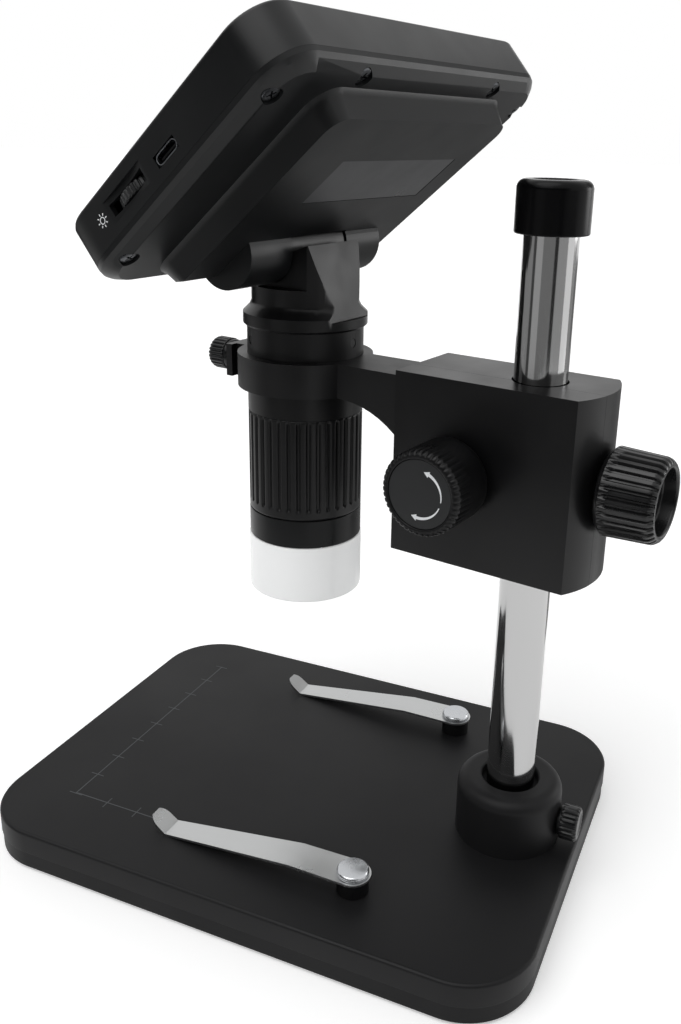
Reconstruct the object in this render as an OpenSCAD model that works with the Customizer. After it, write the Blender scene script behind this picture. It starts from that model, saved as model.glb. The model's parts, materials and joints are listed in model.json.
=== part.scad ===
// Desktop digital microscope: a base with two stage clips, a round pole,
// a rack-driven carriage with a ring arm, a round scope held in the ring,
// and a tilting display head on top of the scope.
// Millimetres. +Z is up, the table is z = 0, the user sits on the -Y side.
// The origin is the middle of the underside of the base.

/* [Base] */
// Width of the base, side to side
base_w = 139; // [130:0.5:165]
// Length of the base, front to back
base_l = 190; // [182:1:220]
// Height of the base's top over the table
base_h = 14.7; // [12.7:0.5:18.2]
// Height of the joint between the cover and the bottom plate
seam_h = 6.8; // [5:0.1:8]
// Radius of the base's corners in plan
base_r = 22.6; // [18:0.2:28]
// Wall of the base cover
base_wall = 2.2; // [1.8:0.1:3]
// Diameter of a rubber foot
foot_d = 16; // [12:1:20]
// How far a foot stands out below the bottom plate
foot_out = 0.8; // [0.6:0.1:2]

/* [Stage clips] */
// Sideways distance from the middle to a clip's pivot
clip_x = 47.5; // [38:0.5:52]
// Distance from the base's middle back to a clip's pivot
clip_y = 36.5; // [25:0.5:40]
// Width of a clip's strip at its pivot
clip_w = 11.4; // [9:0.2:13]
// Width of a clip's strip at its tip
clip_tip_w = 7.4; // [6:0.2:8.6]
// Thickness of a clip's strip
clip_t = 0.8; // [0.6:0.1:1.2]
// Height of the strip over the base at its pivot
clip_rise = 5.4; // [5:0.2:8]
// Length from the pivot to the tip's bend
clip_reach = 66.5; // [50:0.5:70]

/* [Pole] */
// Sideways place of the pole
pole_x = -1.4; // [-4:0.2:4]
// Distance from the base's middle back to the pole
pole_y = 71.2; // [68:0.2:73]
// Diameter of the pole
pole_d = 15.7; // [14.5:0.1:17]
// Wall of the pole's tube
pole_wall = 4.85; // [4.4:0.05:5.2]
// Height of the pole's upper end over the table
pole_top = 222.6; // [220.6:1:260.6]
// Diameter of the socket that holds the pole
socket_d = 34.6; // [32:0.2:40]
// Height of the socket over the base
socket_h = 20.5; // [17:0.5:24]
// Diameter of the socket's clamp screw head
clamp_d = 11.3; // [9:0.1:13]
// Turn of the pole and arm from straight ahead, to the user's left when positive
arm_swing = -9.8; // [-20:0.2:20]
// Outer diameter of the pole's end cap
cap_d = 21.1; // [19:0.1:24]
// Length of the pole's end cap
cap_h = 14.6; // [12:0.2:20]

/* [Carriage] */
// Width of the carriage block
car_w = 31.4; // [30:0.2:36]
// Length of the block from the pole's axis to its front face
car_front = 39.6; // [35:0.2:42]
// Length of the block from the pole's axis to its back corners
car_back = 18.2; // [18:0.2:22]
// How far the back face bulges out
car_bulge = 4.4; // [3:0.1:5.5]
// Height of the block
car_h = 57.2; // [54:0.2:64]
// Height of the block's underside over the table
car_z = 111.8; // [100:0.2:118]
// Wall of the block's two half shells
car_wall = 2.4; // [2:0.1:3]
// Sideways place of the joint between the two half shells
car_seam = 5; // [2:0.5:7]
// Travel of the block down from its middle position
travel_down = 58; // [40:1:60]
// Travel of the block up from its middle position
travel_up = 38; // [20:1:40]

/* [Focus drive] */
// Tooth size (module) of rack and pinion
gear_m = 0.8; // [0.7:0.02:0.85]
// Number of teeth on the pinion
gear_n = 28; // [26:1:29]
// Width of the rack and the pinion's teeth
rack_w = 4; // [3:0.2:4.6]
// Diameter of the pinion shaft
shaft_d = 8; // [6:0.5:9]
// Diameter of the focus knob
knob_d = 25.4; // [20:0.2:30]
// Length of the focus knob's grip
knob_l = 17.9; // [12:0.1:24]
// Diameter of the disc set in the focus knob
disc_d = 17.8; // [13:0.2:18.5]

/* [Lock] */
// Diameter of the lock knob at its open end
lock_d = 26.4; // [22:0.2:30]
// Length of the lock knob
lock_l = 17.4; // [12:0.2:22]
// Diameter of the lock screw
lock_screw_d = 7.8; // [6:0.2:8]

/* [Arm] */
// Distance from the pole's axis to the scope's axis
arm_reach = 85; // [82:0.5:95]
// Width of the arm
arm_w = 20; // [16:0.5:22]
// Height of the arm and its ring
arm_h = 11; // [10:0.2:13]
// How far the arm's top lies under the block's top
arm_drop = 3; // [2.8:0.1:5]
// Wall of the ring round the scope
ring_wall = 3.2; // [2.6:0.1:4]
// Diameter of the ring's clamp screw head
ring_screw_d = 11.2; // [9:0.2:12]

/* [Scope] */
// Diameter of the scope's barrel
barrel_d = 38.44; // [36:0.1:41]
// Length of the plain barrel under the shoulder
band_h = 28.3; // [26:0.1:32]
// How far the shoulder stands over the ring
shoulder_up = 9.2; // [7:0.1:12]
// Length of the fluted focus ring
grip_h = 34.4; // [30:0.2:40]
// Length of the nose ring
nose_h = 9.8; // [8:0.2:12]
// Length of the clear cap
hood_h = 19.6; // [15:0.2:24]
// Diameter of the clear cap
hood_d = 38.96; // [37.6:0.02:41]
// Wall of the clear cap
hood_wall = 1.4; // [1.1:0.1:1.6]
// Number of flutes round the focus ring
flutes = 36; // [24:1:44]
// Travel of the lens each way
lens_travel = 1.5; // [0.5:0.1:2]

/* [Neck] */
// Diameter of the neck's flange
flange_d = 40.9; // [39.5:0.1:44]
// Height of the neck's flange
flange_h = 4.8; // [4:0.1:7]
// Diameter of the neck over the flange
neck_d = 35.2; // [33.5:0.1:37]
// Height of the hinge axis over the scope's shoulder
hinge_up = 24.9; // [24.5:0.1:30]
// How far the hinge axis lies in front of the scope's axis
hinge_fwd = 4.6; // [2:0.1:5.2]
// Width of the neck's tongue
tongue_w = 27.6; // [24:0.2:28]

/* [Display head] */
// Lean of the screen back from upright
head_lean = 50; // [45:0.5:54]
// Width of the head
head_w = 140; // [137:0.2:156]
// Height of the head along the screen
head_h = 94.2; // [92:0.2:100]
// Corner radius of the head
head_r = 12.6; // [10:0.1:14]
// Depth of the front housing
front_t = 13.8; // [13.2:0.1:15]
// Depth of the rear cover's rim behind the joint
back_t = 4.6; // [4.4:0.1:6]
// Depth of the raised battery platform behind the rear cover
plat_t = 7.6; // [7.4:0.1:10]
// Width of the platform at its top
plat_w = 95.6; // [88:0.2:100]
// Corner radius of the platform
plat_r = 9; // [7:0.1:12]
// Height of the platform's lower edge above the head's lower edge
plat_low = 4.4; // [2:0.1:6]
// Wall of the head's mouldings
head_wall = 2.2; // [2:0.1:2.6]
// Distance of the hinge axis from the head's lower edge
hinge_b = 19.4; // [18:0.1:21]
// Depth of the hinge axis under the platform's top
hinge_in = 3.1; // [2.6:0.1:3.3]
// Diameter of the hinge knuckles
knuckle_d = 21.4; // [20:0.1:22]
// Width over both hinge knuckles
knuckle_w = 68; // [62:0.5:80]
// Width of the slot between the knuckles
slot_w = 29; // [28.8:0.1:31]
// Diameter of the hinge pin
pin_d = 5; // [4:0.1:6]
// Width of the display module
lcd_w = 105.5; // [96:0.5:108]
// Height of the display module
lcd_h = 67.2; // [60:0.2:67.6]
// Width of the battery
battery_w = 64; // [50:1:70]
// Height of the battery along the screen
battery_l = 34; // [26:1:40]
// Thickness of the battery
battery_t = 7; // [5:0.1:7.2]
// Width of the label
label_w = 63; // [50:0.5:68]
// Height of the label
label_l = 18.8; // [14:0.2:21]
// Diameter of a push button
button_d = 6.4; // [5:0.1:7]
// Travel of a push button
button_travel = 0.5; // [0.3:0.1:0.6]
// Distance between push buttons
button_pitch = 16; // [12:0.5:18]
// Diameter of the dimmer wheel
dimmer_d = 18; // [14:0.2:18.6]
// Thickness of the dimmer wheel
dimmer_t = 3; // [2.4:0.1:3.2]

/* [Hidden] */
$fn = 72;

// clearances
run = 0.08;
fit = 0.05;
gap = 0.1;
soft = 0.3;
e = 0.01;

// base
plate_z = foot_out;
cover_z = seam_h + gap;
base_scr_x = base_w / 2 - 13.5;
base_scr_y = base_l / 2 - 13.5;
base_scr = [for (x = [-1, 1], y = [-1, 0, 1]) [x * base_scr_x, y * base_scr_y]];
foot_x = base_w / 2 - foot_d / 2 - 21;
foot_y = base_l / 2 - foot_d / 2 - 3;
post_d = 10;
pole_r = pole_d / 2;
spigot_r = pole_r + 4.2;
socket_scr_r = pole_r + fit + 2.1;
clamp_z = base_h + 8;

// carriage
car_top = car_z + car_h;
car_mid = car_z + car_h / 2;
car_arc = (car_w * car_w / 4 + car_bulge * car_bulge) / (2 * car_bulge);
car_rear = car_back + car_bulge;
tip = 0.85 * gear_m;
root = 1.15 * gear_m;
rack_py = sqrt(pole_r * pole_r - rack_w * rack_w / 4) - 0.04 - tip;
pitch_r = gear_m * gear_n / 2;
pinion_y = -(rack_py + pitch_r);
tooth_p = PI * gear_m;
slot_floor = pole_r - 3.45;
pinion_w = rack_w - 0.7;
bush_r = 11.4;
bush_h = 12.5;
pad_l = 3.2;
pad_r = 4.4;
nut_w = 13;
nut_t = 5.3;
nut_y = pole_r + run + pad_l + 2.1;
shell_scr = [[-24, car_top - arm_drop - arm_h / 2], [-(car_front - 5.5), car_z + 7.1],
  [car_back - 3.1, car_z + 7.1], [car_back - 3.1, car_top - 7.8]];

// arm and ring
ring_top = car_top - arm_drop;
ring_z = ring_top - arm_h;
barrel_r = barrel_d / 2;
ring_in = barrel_r + run;
ring_out = ring_in + ring_wall;
gusset_y = -(arm_reach - sqrt(ring_out * ring_out - arm_w * arm_w / 4));
tongue_end = -(bush_r + 0.7);
ring_scr_z = ring_top - arm_h / 2;

// scope stack, from the shoulder down
sh_z = ring_top + shoulder_up;
grip_top = sh_z - band_h - gap;
grip_z = grip_top - grip_h;
nose_top = grip_z - gap;
nose_z = nose_top - nose_h;
hood_top = nose_z - gap;
hood_z = hood_top - hood_h;
tube_r = barrel_r - 2.2;
bore_r = tube_r - 1.8;
hood_in = hood_d / 2 - hood_wall;
spig_r = hood_in - fit;
carrier_z = grip_z + grip_h * 0.32;
lens_z = nose_z - 2.4;
sensor_z = grip_top + 3.3;
led_z = nose_z - 1.3;
led_pitch_r = spig_r - 5.1;

// head
hinge_z = sh_z + hinge_up;
hinge_y = -(arm_reach + hinge_fwd);
hinge_c = front_t + back_t + plat_t - hinge_in;
back_c = front_t + back_t;
plat_c = back_c + plat_t;
neck_r = neck_d / 2;
knuckle_r = knuckle_d / 2;
slot_r = knuckle_r + 0.2;
neck_top = hinge_z - knuckle_r - 1;
plat_top = head_h - 10.7;
lcd_b = head_h / 2 + 6.1;
lcd_back = head_wall + 3.1;
button_b = 10.5;
board_c = 9.3;
board_t = 1.6;
cover_scr = [[-1, head_h - 13.1], [1, head_h - 13.1], [-1, 14.9], [1, 14.9]];
cover_mid = [[-36, head_h - 4.8], [36, head_h - 4.8]];
scr_a = head_w / 2 - 5;
cover_pts = concat([for (p = cover_scr) [p[0] * scr_a, p[1]]], cover_mid);
usb_b = 48.9;
usb_c = board_c - 0.4;
dimmer_b = 30.6;
dimmer_c = board_c - 1.7;
label_a = -36.3;
label_b = 47.5;
dimmer_a = head_w / 2 - dimmer_d / 2 - 0.3;
button_x = [for (i = [-2:2]) i * button_pitch];

// a flat slab with round corners, its edge given as [inset, height] steps
module rim_slab(lx, ly, r, prof) {
  n = len(prof) - 1;
  z0 = prof[0][1];
  z1 = prof[n][1];
  rim = concat([[0, z0]], [for (p = prof) [r - p[0], p[1]]], [[0, z1]]);
  for (sx = [-1, 1], sy = [-1, 1])
    translate([sx * (lx / 2 - r), sy * (ly / 2 - r), 0]) rotate_extrude() polygon(rim);
  translate([-(lx / 2 - r), 0, 0]) rotate([90, 0, 90]) linear_extrude(lx - 2 * r)
    polygon(concat([for (p = prof) [ly / 2 - p[0], p[1]]],
      [for (i = [n:-1:0]) [prof[i][0] - ly / 2, prof[i][1]]]));
  translate([0, ly / 2 - r, 0]) rotate([90, 0, 0]) linear_extrude(ly - 2 * r)
    polygon(concat([for (p = prof) [lx / 2 - p[0], p[1]]],
      [for (i = [n:-1:0]) [prof[i][0] - lx / 2, prof[i][1]]]));
}

// a turned grip with n straight ribs
module ribbed(r, h, n, d, share = 0.5) {
  linear_extrude(h) polygon([for (i = [0:n - 1], k = [0:3])
    let (a = (i + [0, 0.12, share, share + 0.12][k]) * 360 / n,
      q = (k == 0 || k == 3) ? r - d : r) [q * cos(a), q * sin(a)]]);
}

// a turned solid from [radius, height] points
module turned(pts) {
  rotate_extrude() polygon(pts);
}

// frames
module at_arm() {
  translate([pole_x, pole_y, 0]) rotate([0, 0, arm_swing]) children();
}
module at_scope() {
  at_arm() translate([0, -arm_reach, 0]) children();
}
// x runs across the head, y up the screen, z out of the screen
module at_head() {
  at_arm() translate([0, hinge_y, hinge_z]) rotate([90 - head_lean, 0, 0])
    translate([0, -hinge_b, hinge_c]) children();
}
module along_x() {
  rotate([0, 90, 0]) children();
}
module along_y() {
  rotate([-90, 0, 0]) children();
}

// ---- base ----
module base_cover() {
  color("#55585b") difference() {
    union() {
      difference() {
        rim_slab(base_w, base_l, base_r,
          [[0, cover_z], [0, base_h - 1], [0.4, base_h - 0.4], [1.2, base_h]]);
        rim_slab(base_w - 2 * base_wall, base_l - 2 * base_wall, base_r - base_wall,
          [[0, cover_z - e], [0, base_h - base_wall]]);
      }
      for (p = base_scr) translate([p[0], p[1], cover_z])
        cylinder(r = 4, h = base_h - base_wall - cover_z + e);
      for (s = [-1, 1]) translate([s * clip_x, clip_y, cover_z])
        cylinder(r = 6, h = base_h - base_wall - cover_z + e);
      translate([pole_x, pole_y, cover_z])
        cylinder(r = spigot_r + 2.5, h = base_h - base_wall - cover_z + e);
    }
    for (p = base_scr) translate([p[0], p[1], cover_z - e])
      cylinder(r = 1.5, h = base_h - base_wall - cover_z);
    for (s = [-1, 1]) translate([s * clip_x, clip_y, cover_z - e])
      cylinder(r = 3 + fit, h = base_h);
    translate([pole_x, pole_y, 0]) cylinder(r = spigot_r + fit, h = base_h + 1);
  }
}

module base_plate() {
  color("#4a4d50") difference() {
    rim_slab(base_w - 0.6, base_l - 0.6, base_r - 0.3,
      [[0.4, plate_z], [0, plate_z + 0.4], [0, seam_h]]);
    for (sx = [-1, 1], sy = [-1, 1]) translate([sx * foot_x, sy * foot_y, 0])
      cylinder(d = foot_d + 2 * fit, h = plate_z + 1);
    for (p = base_scr) translate([p[0], p[1], 0]) {
      cylinder(r = 3, h = plate_z + 2);
      cylinder(r = 1.6, h = seam_h + 1);
    }
    translate([pole_x, pole_y, 0]) for (a = [90, 210, 330]) rotate([0, 0, a])
      translate([socket_scr_r, 0, 0]) {
        cylinder(r = 2.6, h = plate_z + 2);
        cylinder(r = 1.4, h = seam_h + 1);
      }
  }
}

module rubber_feet() {
  color("#202224") for (sx = [-1, 1], sy = [-1, 1]) translate([sx * foot_x, sy * foot_y, 0])
    turned([[0, 0], [foot_d / 2 - 0.6, 0], [foot_d / 2, 0.6], [foot_d / 2, plate_z + 1],
      [0, plate_z + 1]]);
}

module base_screws() {
  color("#b8babd") for (p = base_scr) translate([p[0], p[1], plate_z + 0.3]) difference() {
    union() {
      cylinder(r = 2.8, h = 1.7);
      cylinder(r = 1.45, h = base_h - base_wall - plate_z - 0.8);
    }
    translate([-1.6, -0.3, -e]) cube([3.2, 0.6, 0.8]);
    translate([-0.3, -1.6, -e]) cube([0.6, 3.2, 0.8]);
  }
}

// ---- stage clips ----
post_top = base_h + clip_rise;
module clip_posts() {
  color("#26282a") for (s = [-1, 1]) translate([s * clip_x, clip_y, 0]) difference() {
    union() {
      translate([0, 0, base_h]) cylinder(d = post_d, h = clip_rise - gap);
      translate([0, 0, cover_z + 0.5]) cylinder(r = 3, h = base_h - cover_z);
      translate([0, 0, base_h]) cylinder(r = 3, h = clip_rise + clip_t + gap);
    }
    translate([0, 0, base_h]) cylinder(r = 1.5, h = clip_rise + 5);
  }
}

// a sprung strip, level over its post, then down to the stage, with a lifted tip
module clip_strip() {
  tab_l = 6;
  bend_y = 19.5;
  tip_y = clip_reach + tab_l - clip_tip_w / 2;
  z0 = post_top;
  zt = base_h + fit;
  intersection() {
    translate([clip_w / 2, 0, 0]) rotate([90, 0, -90]) linear_extrude(clip_w)
      polygon([[-clip_w / 2, z0], [bend_y, z0], [clip_reach - 1, zt], [clip_reach + 0.6, zt],
        [clip_reach + tab_l, zt + 4.3], [clip_reach + tab_l - 0.5, zt + 4.3 + clip_t],
        [clip_reach - 0.2, zt + clip_t], [clip_reach - 1, zt + clip_t],
        [bend_y, z0 + clip_t], [-clip_w / 2, z0 + clip_t]]);
    linear_extrude(pole_top) union() {
      circle(d = clip_w);
      polygon([[-clip_w / 2, 0], [-clip_w / 2 + 0.3, -bend_y], [-clip_tip_w / 2, -tip_y],
        [clip_tip_w / 2, -tip_y], [clip_w / 2 - 0.3, -bend_y], [clip_w / 2, 0]]);
      translate([0, -tip_y]) circle(d = clip_tip_w);
    }
  }
}
module clip_at(s) {
  color("#d9dbdc") translate([s * clip_x, clip_y, 0]) difference() {
    clip_strip();
    translate([0, 0, base_h]) cylinder(r = 3 + run, h = clip_rise + 5);
  }
}
module clip_near() {
  clip_at(1);
}
module clip_far() {
  clip_at(-1);
}

module clip_screws() {
  color("#cfd1d3") for (s = [-1, 1])
    translate([s * clip_x, clip_y, post_top + clip_t + gap]) {
      turned([[0, 0], [5.1, 0], [5.1, 1], [4.6, 1.4], [0, 1.4]]);
      translate([0, 0, -6]) cylinder(r = 1.45, h = 6.5);
    }
}

// ---- pole ----
module pole_socket() {
  sr = socket_d / 2;
  rr = 4.2;
  top = base_h + socket_h;
  color("#4c4f52") translate([pole_x, pole_y, 0]) difference() {
    turned(concat([[pole_r + fit, cover_z], [spigot_r, cover_z], [spigot_r, base_h],
      [sr, base_h], [sr, top - rr]],
      [for (i = [1:6]) [sr - rr + rr * cos(i * 15), top - rr + rr * sin(i * 15)]],
      [[pole_r + 2, top], [pole_r + 1.5, top - 0.5], [pole_r + 1.5, top - 3.5],
      [pole_r + fit, top - 3.5]]));
    for (a = [90, 210, 330]) rotate([0, 0, a]) translate([socket_scr_r, 0, 0])
      cylinder(r = 1.3, h = base_h + 6);
    translate([0, 0, clamp_z]) along_y() cylinder(r = 2.5, h = socket_d);
  }
}

module socket_screws() {
  color("#b8babd") translate([pole_x, pole_y, 0]) for (a = [90, 210, 330]) rotate([0, 0, a])
    translate([socket_scr_r, 0, plate_z + 0.3]) {
      cylinder(r = 2.4, h = 1.7);
      cylinder(r = 1.25, h = base_h + 5 - plate_z);
    }
}

module socket_clamp() {
  color("#303234") translate([pole_x, pole_y, clamp_z]) along_y() {
    translate([0, 0, pole_r + gap]) cylinder(r = 2.45, h = socket_d / 2 - pole_r + 1);
    translate([0, 0, socket_d / 2 + soft]) cylinder(r = clamp_d / 2 - 0.9, h = 1);
    translate([0, 0, socket_d / 2 + 1.2]) ribbed(clamp_d / 2, 4.8, 22, 0.35);
    translate([0, 0, socket_d / 2 + 6 - e])
      cylinder(r1 = clamp_d / 2 - 0.1, r2 = clamp_d / 2 - 0.8, h = 0.8);
  }
}

pole_z = seam_h + 0.7;
rack_z = car_mid - travel_down - 9;
rack_h = travel_down + travel_up + 18;
module pole() {
  color("#e4e6e8") at_arm() difference() {
    translate([0, 0, pole_z]) cylinder(r = pole_r, h = pole_top - pole_z);
    translate([0, 0, pole_z - 1]) cylinder(r = pole_r - pole_wall, h = pole_top);
    translate([-rack_w / 2 - fit, -pole_r - 1, rack_z - fit])
      cube([rack_w + 2 * fit, pole_r + 1 - slot_floor, rack_h + 2 * fit]);
  }
}

// straight rack, a gap between two teeth level with the pinion's axis
module rack() {
  n = floor((rack_h / 2 - tooth_p) / tooth_p);
  ht = 0.21 * tooth_p;
  dt = tan(20) * tip;
  db = tan(20) * root;
  color("#9a9da0") at_arm() {
    translate([-rack_w / 2, -(rack_py - root), rack_z])
      cube([rack_w, rack_py - root - slot_floor, rack_h]);
    for (i = [-n:n - 1]) let (zc = car_mid + (i + 0.5) * tooth_p)
      if (zc - tooth_p > rack_z && zc + tooth_p < rack_z + rack_h)
        translate([-rack_w / 2, 0, 0]) rotate([90, 0, 90]) linear_extrude(rack_w)
          polygon([[-(rack_py - root - e), zc - ht - db], [-(rack_py + tip), zc - ht + dt],
            [-(rack_py + tip), zc + ht - dt], [-(rack_py - root - e), zc + ht + db]]);
  }
}

module pole_cap() {
  cr = cap_d / 2;
  z0 = pole_top + 2.5 - cap_h;
  z1 = z0 + cap_h;
  color("#1b1c1e") at_arm() turned(concat([[pole_r + fit, z0], [cr - 0.5, z0], [cr, z0 + 0.6],
    [cr, z1 - 3]], [for (i = [1:5]) [cr - 3 + 3 * cos(i * 18), z1 - 3 + 3 * sin(i * 18)]],
    [[cr - 4.5, z1 - 0.8], [0, z1 - 0.8], [0, pole_top + fit], [pole_r + fit, pole_top + fit]]));
}

// ---- carriage ----
module block_shape(o) {
  translate([-(car_w / 2 - o), -(car_front - o)]) square([car_w - 2 * o, car_front - o]);
  intersection() {
    translate([-(car_w / 2 - o), -1]) square([car_w - 2 * o, car_rear + 2]);
    translate([0, car_rear - car_arc]) circle(r = car_arc - o, $fn = 180);
  }
}
module block_part(x0, x1) {
  o = car_wall;
  difference() {
    union() {
      difference() {
        translate([0, 0, car_z]) linear_extrude(car_h) block_shape(0);
        translate([0, 0, car_z + o]) linear_extrude(car_h - 2 * o) block_shape(o);
      }
      // pinion bearings
      translate([0, pinion_y, car_mid]) along_x() {
        translate([0, 0, -car_w / 2 + o / 2]) cylinder(d = shaft_d + 7, h = 6.2);
        translate([0, 0, car_w / 2 - o / 2 - 6.2]) cylinder(d = shaft_d + 7, h = 6.2);
      }
      // lock screw boss
      intersection() {
        translate([0, 0, car_mid - 11]) linear_extrude(22) block_shape(o / 2);
        translate([-car_w, pole_r + 0.7, 0]) cube([2 * car_w, car_rear, pole_top]);
      }
      // screw posts
      for (i = [0:3]) translate([0, shell_scr[i][0], shell_scr[i][1]]) along_x()
        for (s = [-1, 1]) translate([0, 0, s > 0 ? (i == 0 ? arm_w / 2 + gap : 0) : -car_w / 2 + 1])
          cylinder(r = 3.6, h = i == 0 ? car_w / 2 - arm_w / 2 - gap - 1 : car_w / 2 - 1);
    }
    translate([0, 0, car_z - 1]) cylinder(r = pole_r + 0.5, h = car_h + 2);
    // arm's way in
    translate([-arm_w / 2 - gap, -car_front - 1, ring_z - 11.8])
      cube([arm_w + 2 * gap, o + 1.2, arm_h + 11.8 + gap]);
    // pinion shaft and teeth
    translate([0, pinion_y, car_mid]) along_x() {
      translate([0, 0, -car_w / 2 + 1.2]) cylinder(d = shaft_d + 2 * run, h = car_w + 1);
      translate([0, 0, -pinion_w / 2 - 1]) cylinder(r = pitch_r + tip + 1, h = pinion_w + 2);
      translate([0, 0, -7.7]) cylinder(d = shaft_d + 4, h = 15.4);
    }
    // lock screw, its nut and its pad
    translate([0, 0, car_mid]) along_y() {
      cylinder(r = lock_screw_d / 2 + 0.3, h = car_rear + 1);
      cylinder(r = pad_r + run, h = pole_r + pad_l + 0.9);
    }
    translate([-nut_w / 2 - fit, nut_y - fit, car_mid - nut_w / 2 - fit])
      cube([nut_w + 2 * fit, nut_t + 2 * fit, nut_w + 2 * fit]);
    // shell screws
    for (i = [0:3]) translate([-car_w / 2 - 1, shell_scr[i][0], shell_scr[i][1]]) along_x() {
      cylinder(r = 3, h = 3);
      cylinder(r = 1.5 + fit, h = car_w - 1.4);
    }
    translate([x1, -100, 0]) cube([100, 200, 2 * pole_top]);
    translate([x0 - 100, -100, 0]) cube([100, 200, 2 * pole_top]);
  }
}
module carriage_near() {
  color("#4e5154") at_arm() block_part(car_seam, car_w);
}
module carriage_far() {
  color("#4e5154") at_arm() block_part(-car_w, car_seam - fit);
}

module carriage_screws() {
  color("#b8babd") at_arm() for (i = [0:3])
    translate([-car_w / 2 + 0.4, shell_scr[i][0], shell_scr[i][1]]) along_x() {
      cylinder(r = 2.8, h = 1.5);
      cylinder(r = 1.5, h = car_w - 3.4);
    }
}

bush_w = car_w - 2 * car_wall - 2 * gap;
bush_z = [car_z + car_wall + gap, car_top - car_wall - gap - bush_h];
module guide_bushes() {
  color("#8d9094") at_arm() for (z = bush_z) difference() {
    translate([-bush_w / 2, -bush_r, z]) cube([bush_w, 2 * bush_r, bush_h]);
    translate([0, 0, z - 1]) cylinder(r = pole_r + run, h = bush_h + 2);
    for (s = [-1, 1], y = [-1, 1]) translate([s * (bush_w / 2), y * (bush_r + 0.2), z - 1])
      cylinder(r = 0.8, h = bush_h + 2);
  }
}

// ---- arm with the scope's ring ----
module arm_side() {
  l = -gusset_y - car_front;
  rg = (l * l + 11.6 * 11.6) / (2 * 11.6);
  polygon(concat([[gusset_y - 4, ring_top], [gusset_y - 4, ring_z]],
    [for (i = [0:8]) let (d = l * i / 8) [gusset_y + d, ring_z - rg + sqrt(rg * rg - d * d)]],
    [[-(car_front - car_wall - gap), ring_z - 11.6], [-(car_front - car_wall - gap), ring_z],
      [tongue_end, ring_z], [tongue_end, ring_top]]));
}
module arm() {
  lug_y = -(arm_reach + ring_out + 3);
  color("#55585b") at_arm() difference() {
    union() {
      translate([-arm_w / 2, 0, 0]) rotate([90, 0, 90]) linear_extrude(arm_w) arm_side();
      translate([0, -arm_reach, ring_z]) cylinder(r = ring_out, h = arm_h);
      translate([-5.5, lug_y, ring_z]) cube([11, 6, arm_h]);
      translate([-8, lug_y - 2.4, ring_z]) cube([16, 2.5, arm_h]);
    }
    translate([0, -arm_reach, ring_z - 1]) cylinder(r = ring_in, h = arm_h + 2);
    translate([0, -arm_reach, ring_z - 13]) cylinder(r = ring_in, h = 13.1);
    translate([0, lug_y - 3, ring_scr_z]) along_y() cylinder(r = 2.5 + fit, h = 12);
    translate([-car_w / 2, shell_scr[0][0], shell_scr[0][1]]) along_x()
      cylinder(r = 1.8, h = car_w);
  }
}

module ring_screw() {
  y0 = arm_reach + barrel_r + gap;
  y1 = arm_reach + ring_out + 5.4 + soft;
  color("#303234") at_arm() translate([0, 0, ring_scr_z]) rotate([90, 0, 0]) {
    translate([0, 0, y0]) cylinder(r = 2.5, h = y1 - y0 + 1);
    translate([0, 0, y1]) cylinder(r = 3.6, h = 2.2);
    translate([0, 0, y1 + 2]) cylinder(r = ring_screw_d / 2 - 0.4, h = 2);
    translate([0, 0, y1 + 3.9]) ribbed(ring_screw_d / 2, 5.6, 24, 0.35);
    translate([0, 0, y1 + 9.5 - e])
      cylinder(r1 = ring_screw_d / 2 - 0.1, r2 = ring_screw_d / 2 - 1.4, h = 1.4);
  }
}

// ---- focus drive ----
module pinion_shaft() {
  ha = 0.21 * tooth_p / pitch_r * 180 / PI;
  tr = pitch_r + tip;
  rr = pitch_r - root;
  ta = asin((0.21 * tooth_p - tan(20) * tip) / tr);
  ra = ha + atan(tan(20) * root / rr);
  kx = car_w / 2 + 2.7 + knob_l - 3;
  color("#a4a7aa") at_arm() translate([0, pinion_y, car_mid]) along_x() {
    translate([0, 0, -car_w / 2 + 1.5]) cylinder(d = shaft_d, h = car_w / 2 - 1.5 + kx);
    translate([0, 0, -7.4]) cylinder(d = shaft_d + 3, h = 14.8);
    translate([0, 0, -pinion_w / 2]) linear_extrude(pinion_w) rotate([0, 0, 90])
      polygon([for (i = [0:gear_n - 1], k = [[rr, -ra], [tr, -ta], [tr, ta], [rr, ra]])
        let (a = i * 360 / gear_n + k[1]) [k[0] * cos(a), k[0] * sin(a)]]);
  }
}

module focus_knob() {
  x0 = car_w / 2 + 0.3;
  color("#3b3e41") at_arm() translate([x0, pinion_y, car_mid]) along_x() difference() {
    union() {
      cylinder(d = shaft_d + 8, h = 3);
      translate([0, 0, 2.4]) cylinder(r = knob_d / 2 - 0.2, h = 0.8);
      translate([0, 0, 3]) ribbed(knob_d / 2, knob_l - 2.2, 44, 0.5);
      translate([0, 0, knob_l + 0.8]) cylinder(r1 = knob_d / 2 - 0.2, r2 = knob_d / 2 - 1.2, h = 1.6);
    }
    translate([0, 0, -1]) cylinder(d = shaft_d + 2 * fit, h = knob_l + 0.6);
    translate([0, 0, knob_l + 1.4]) cylinder(d = disc_d + 2 * fit, h = 5);
  }
}

module knob_disc() {
  color("#6a6d70") at_arm() translate([car_w / 2 + 0.3 + knob_l + 1.4, pinion_y, car_mid])
    along_x() cylinder(d = disc_d, h = 0.7);
}

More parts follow.
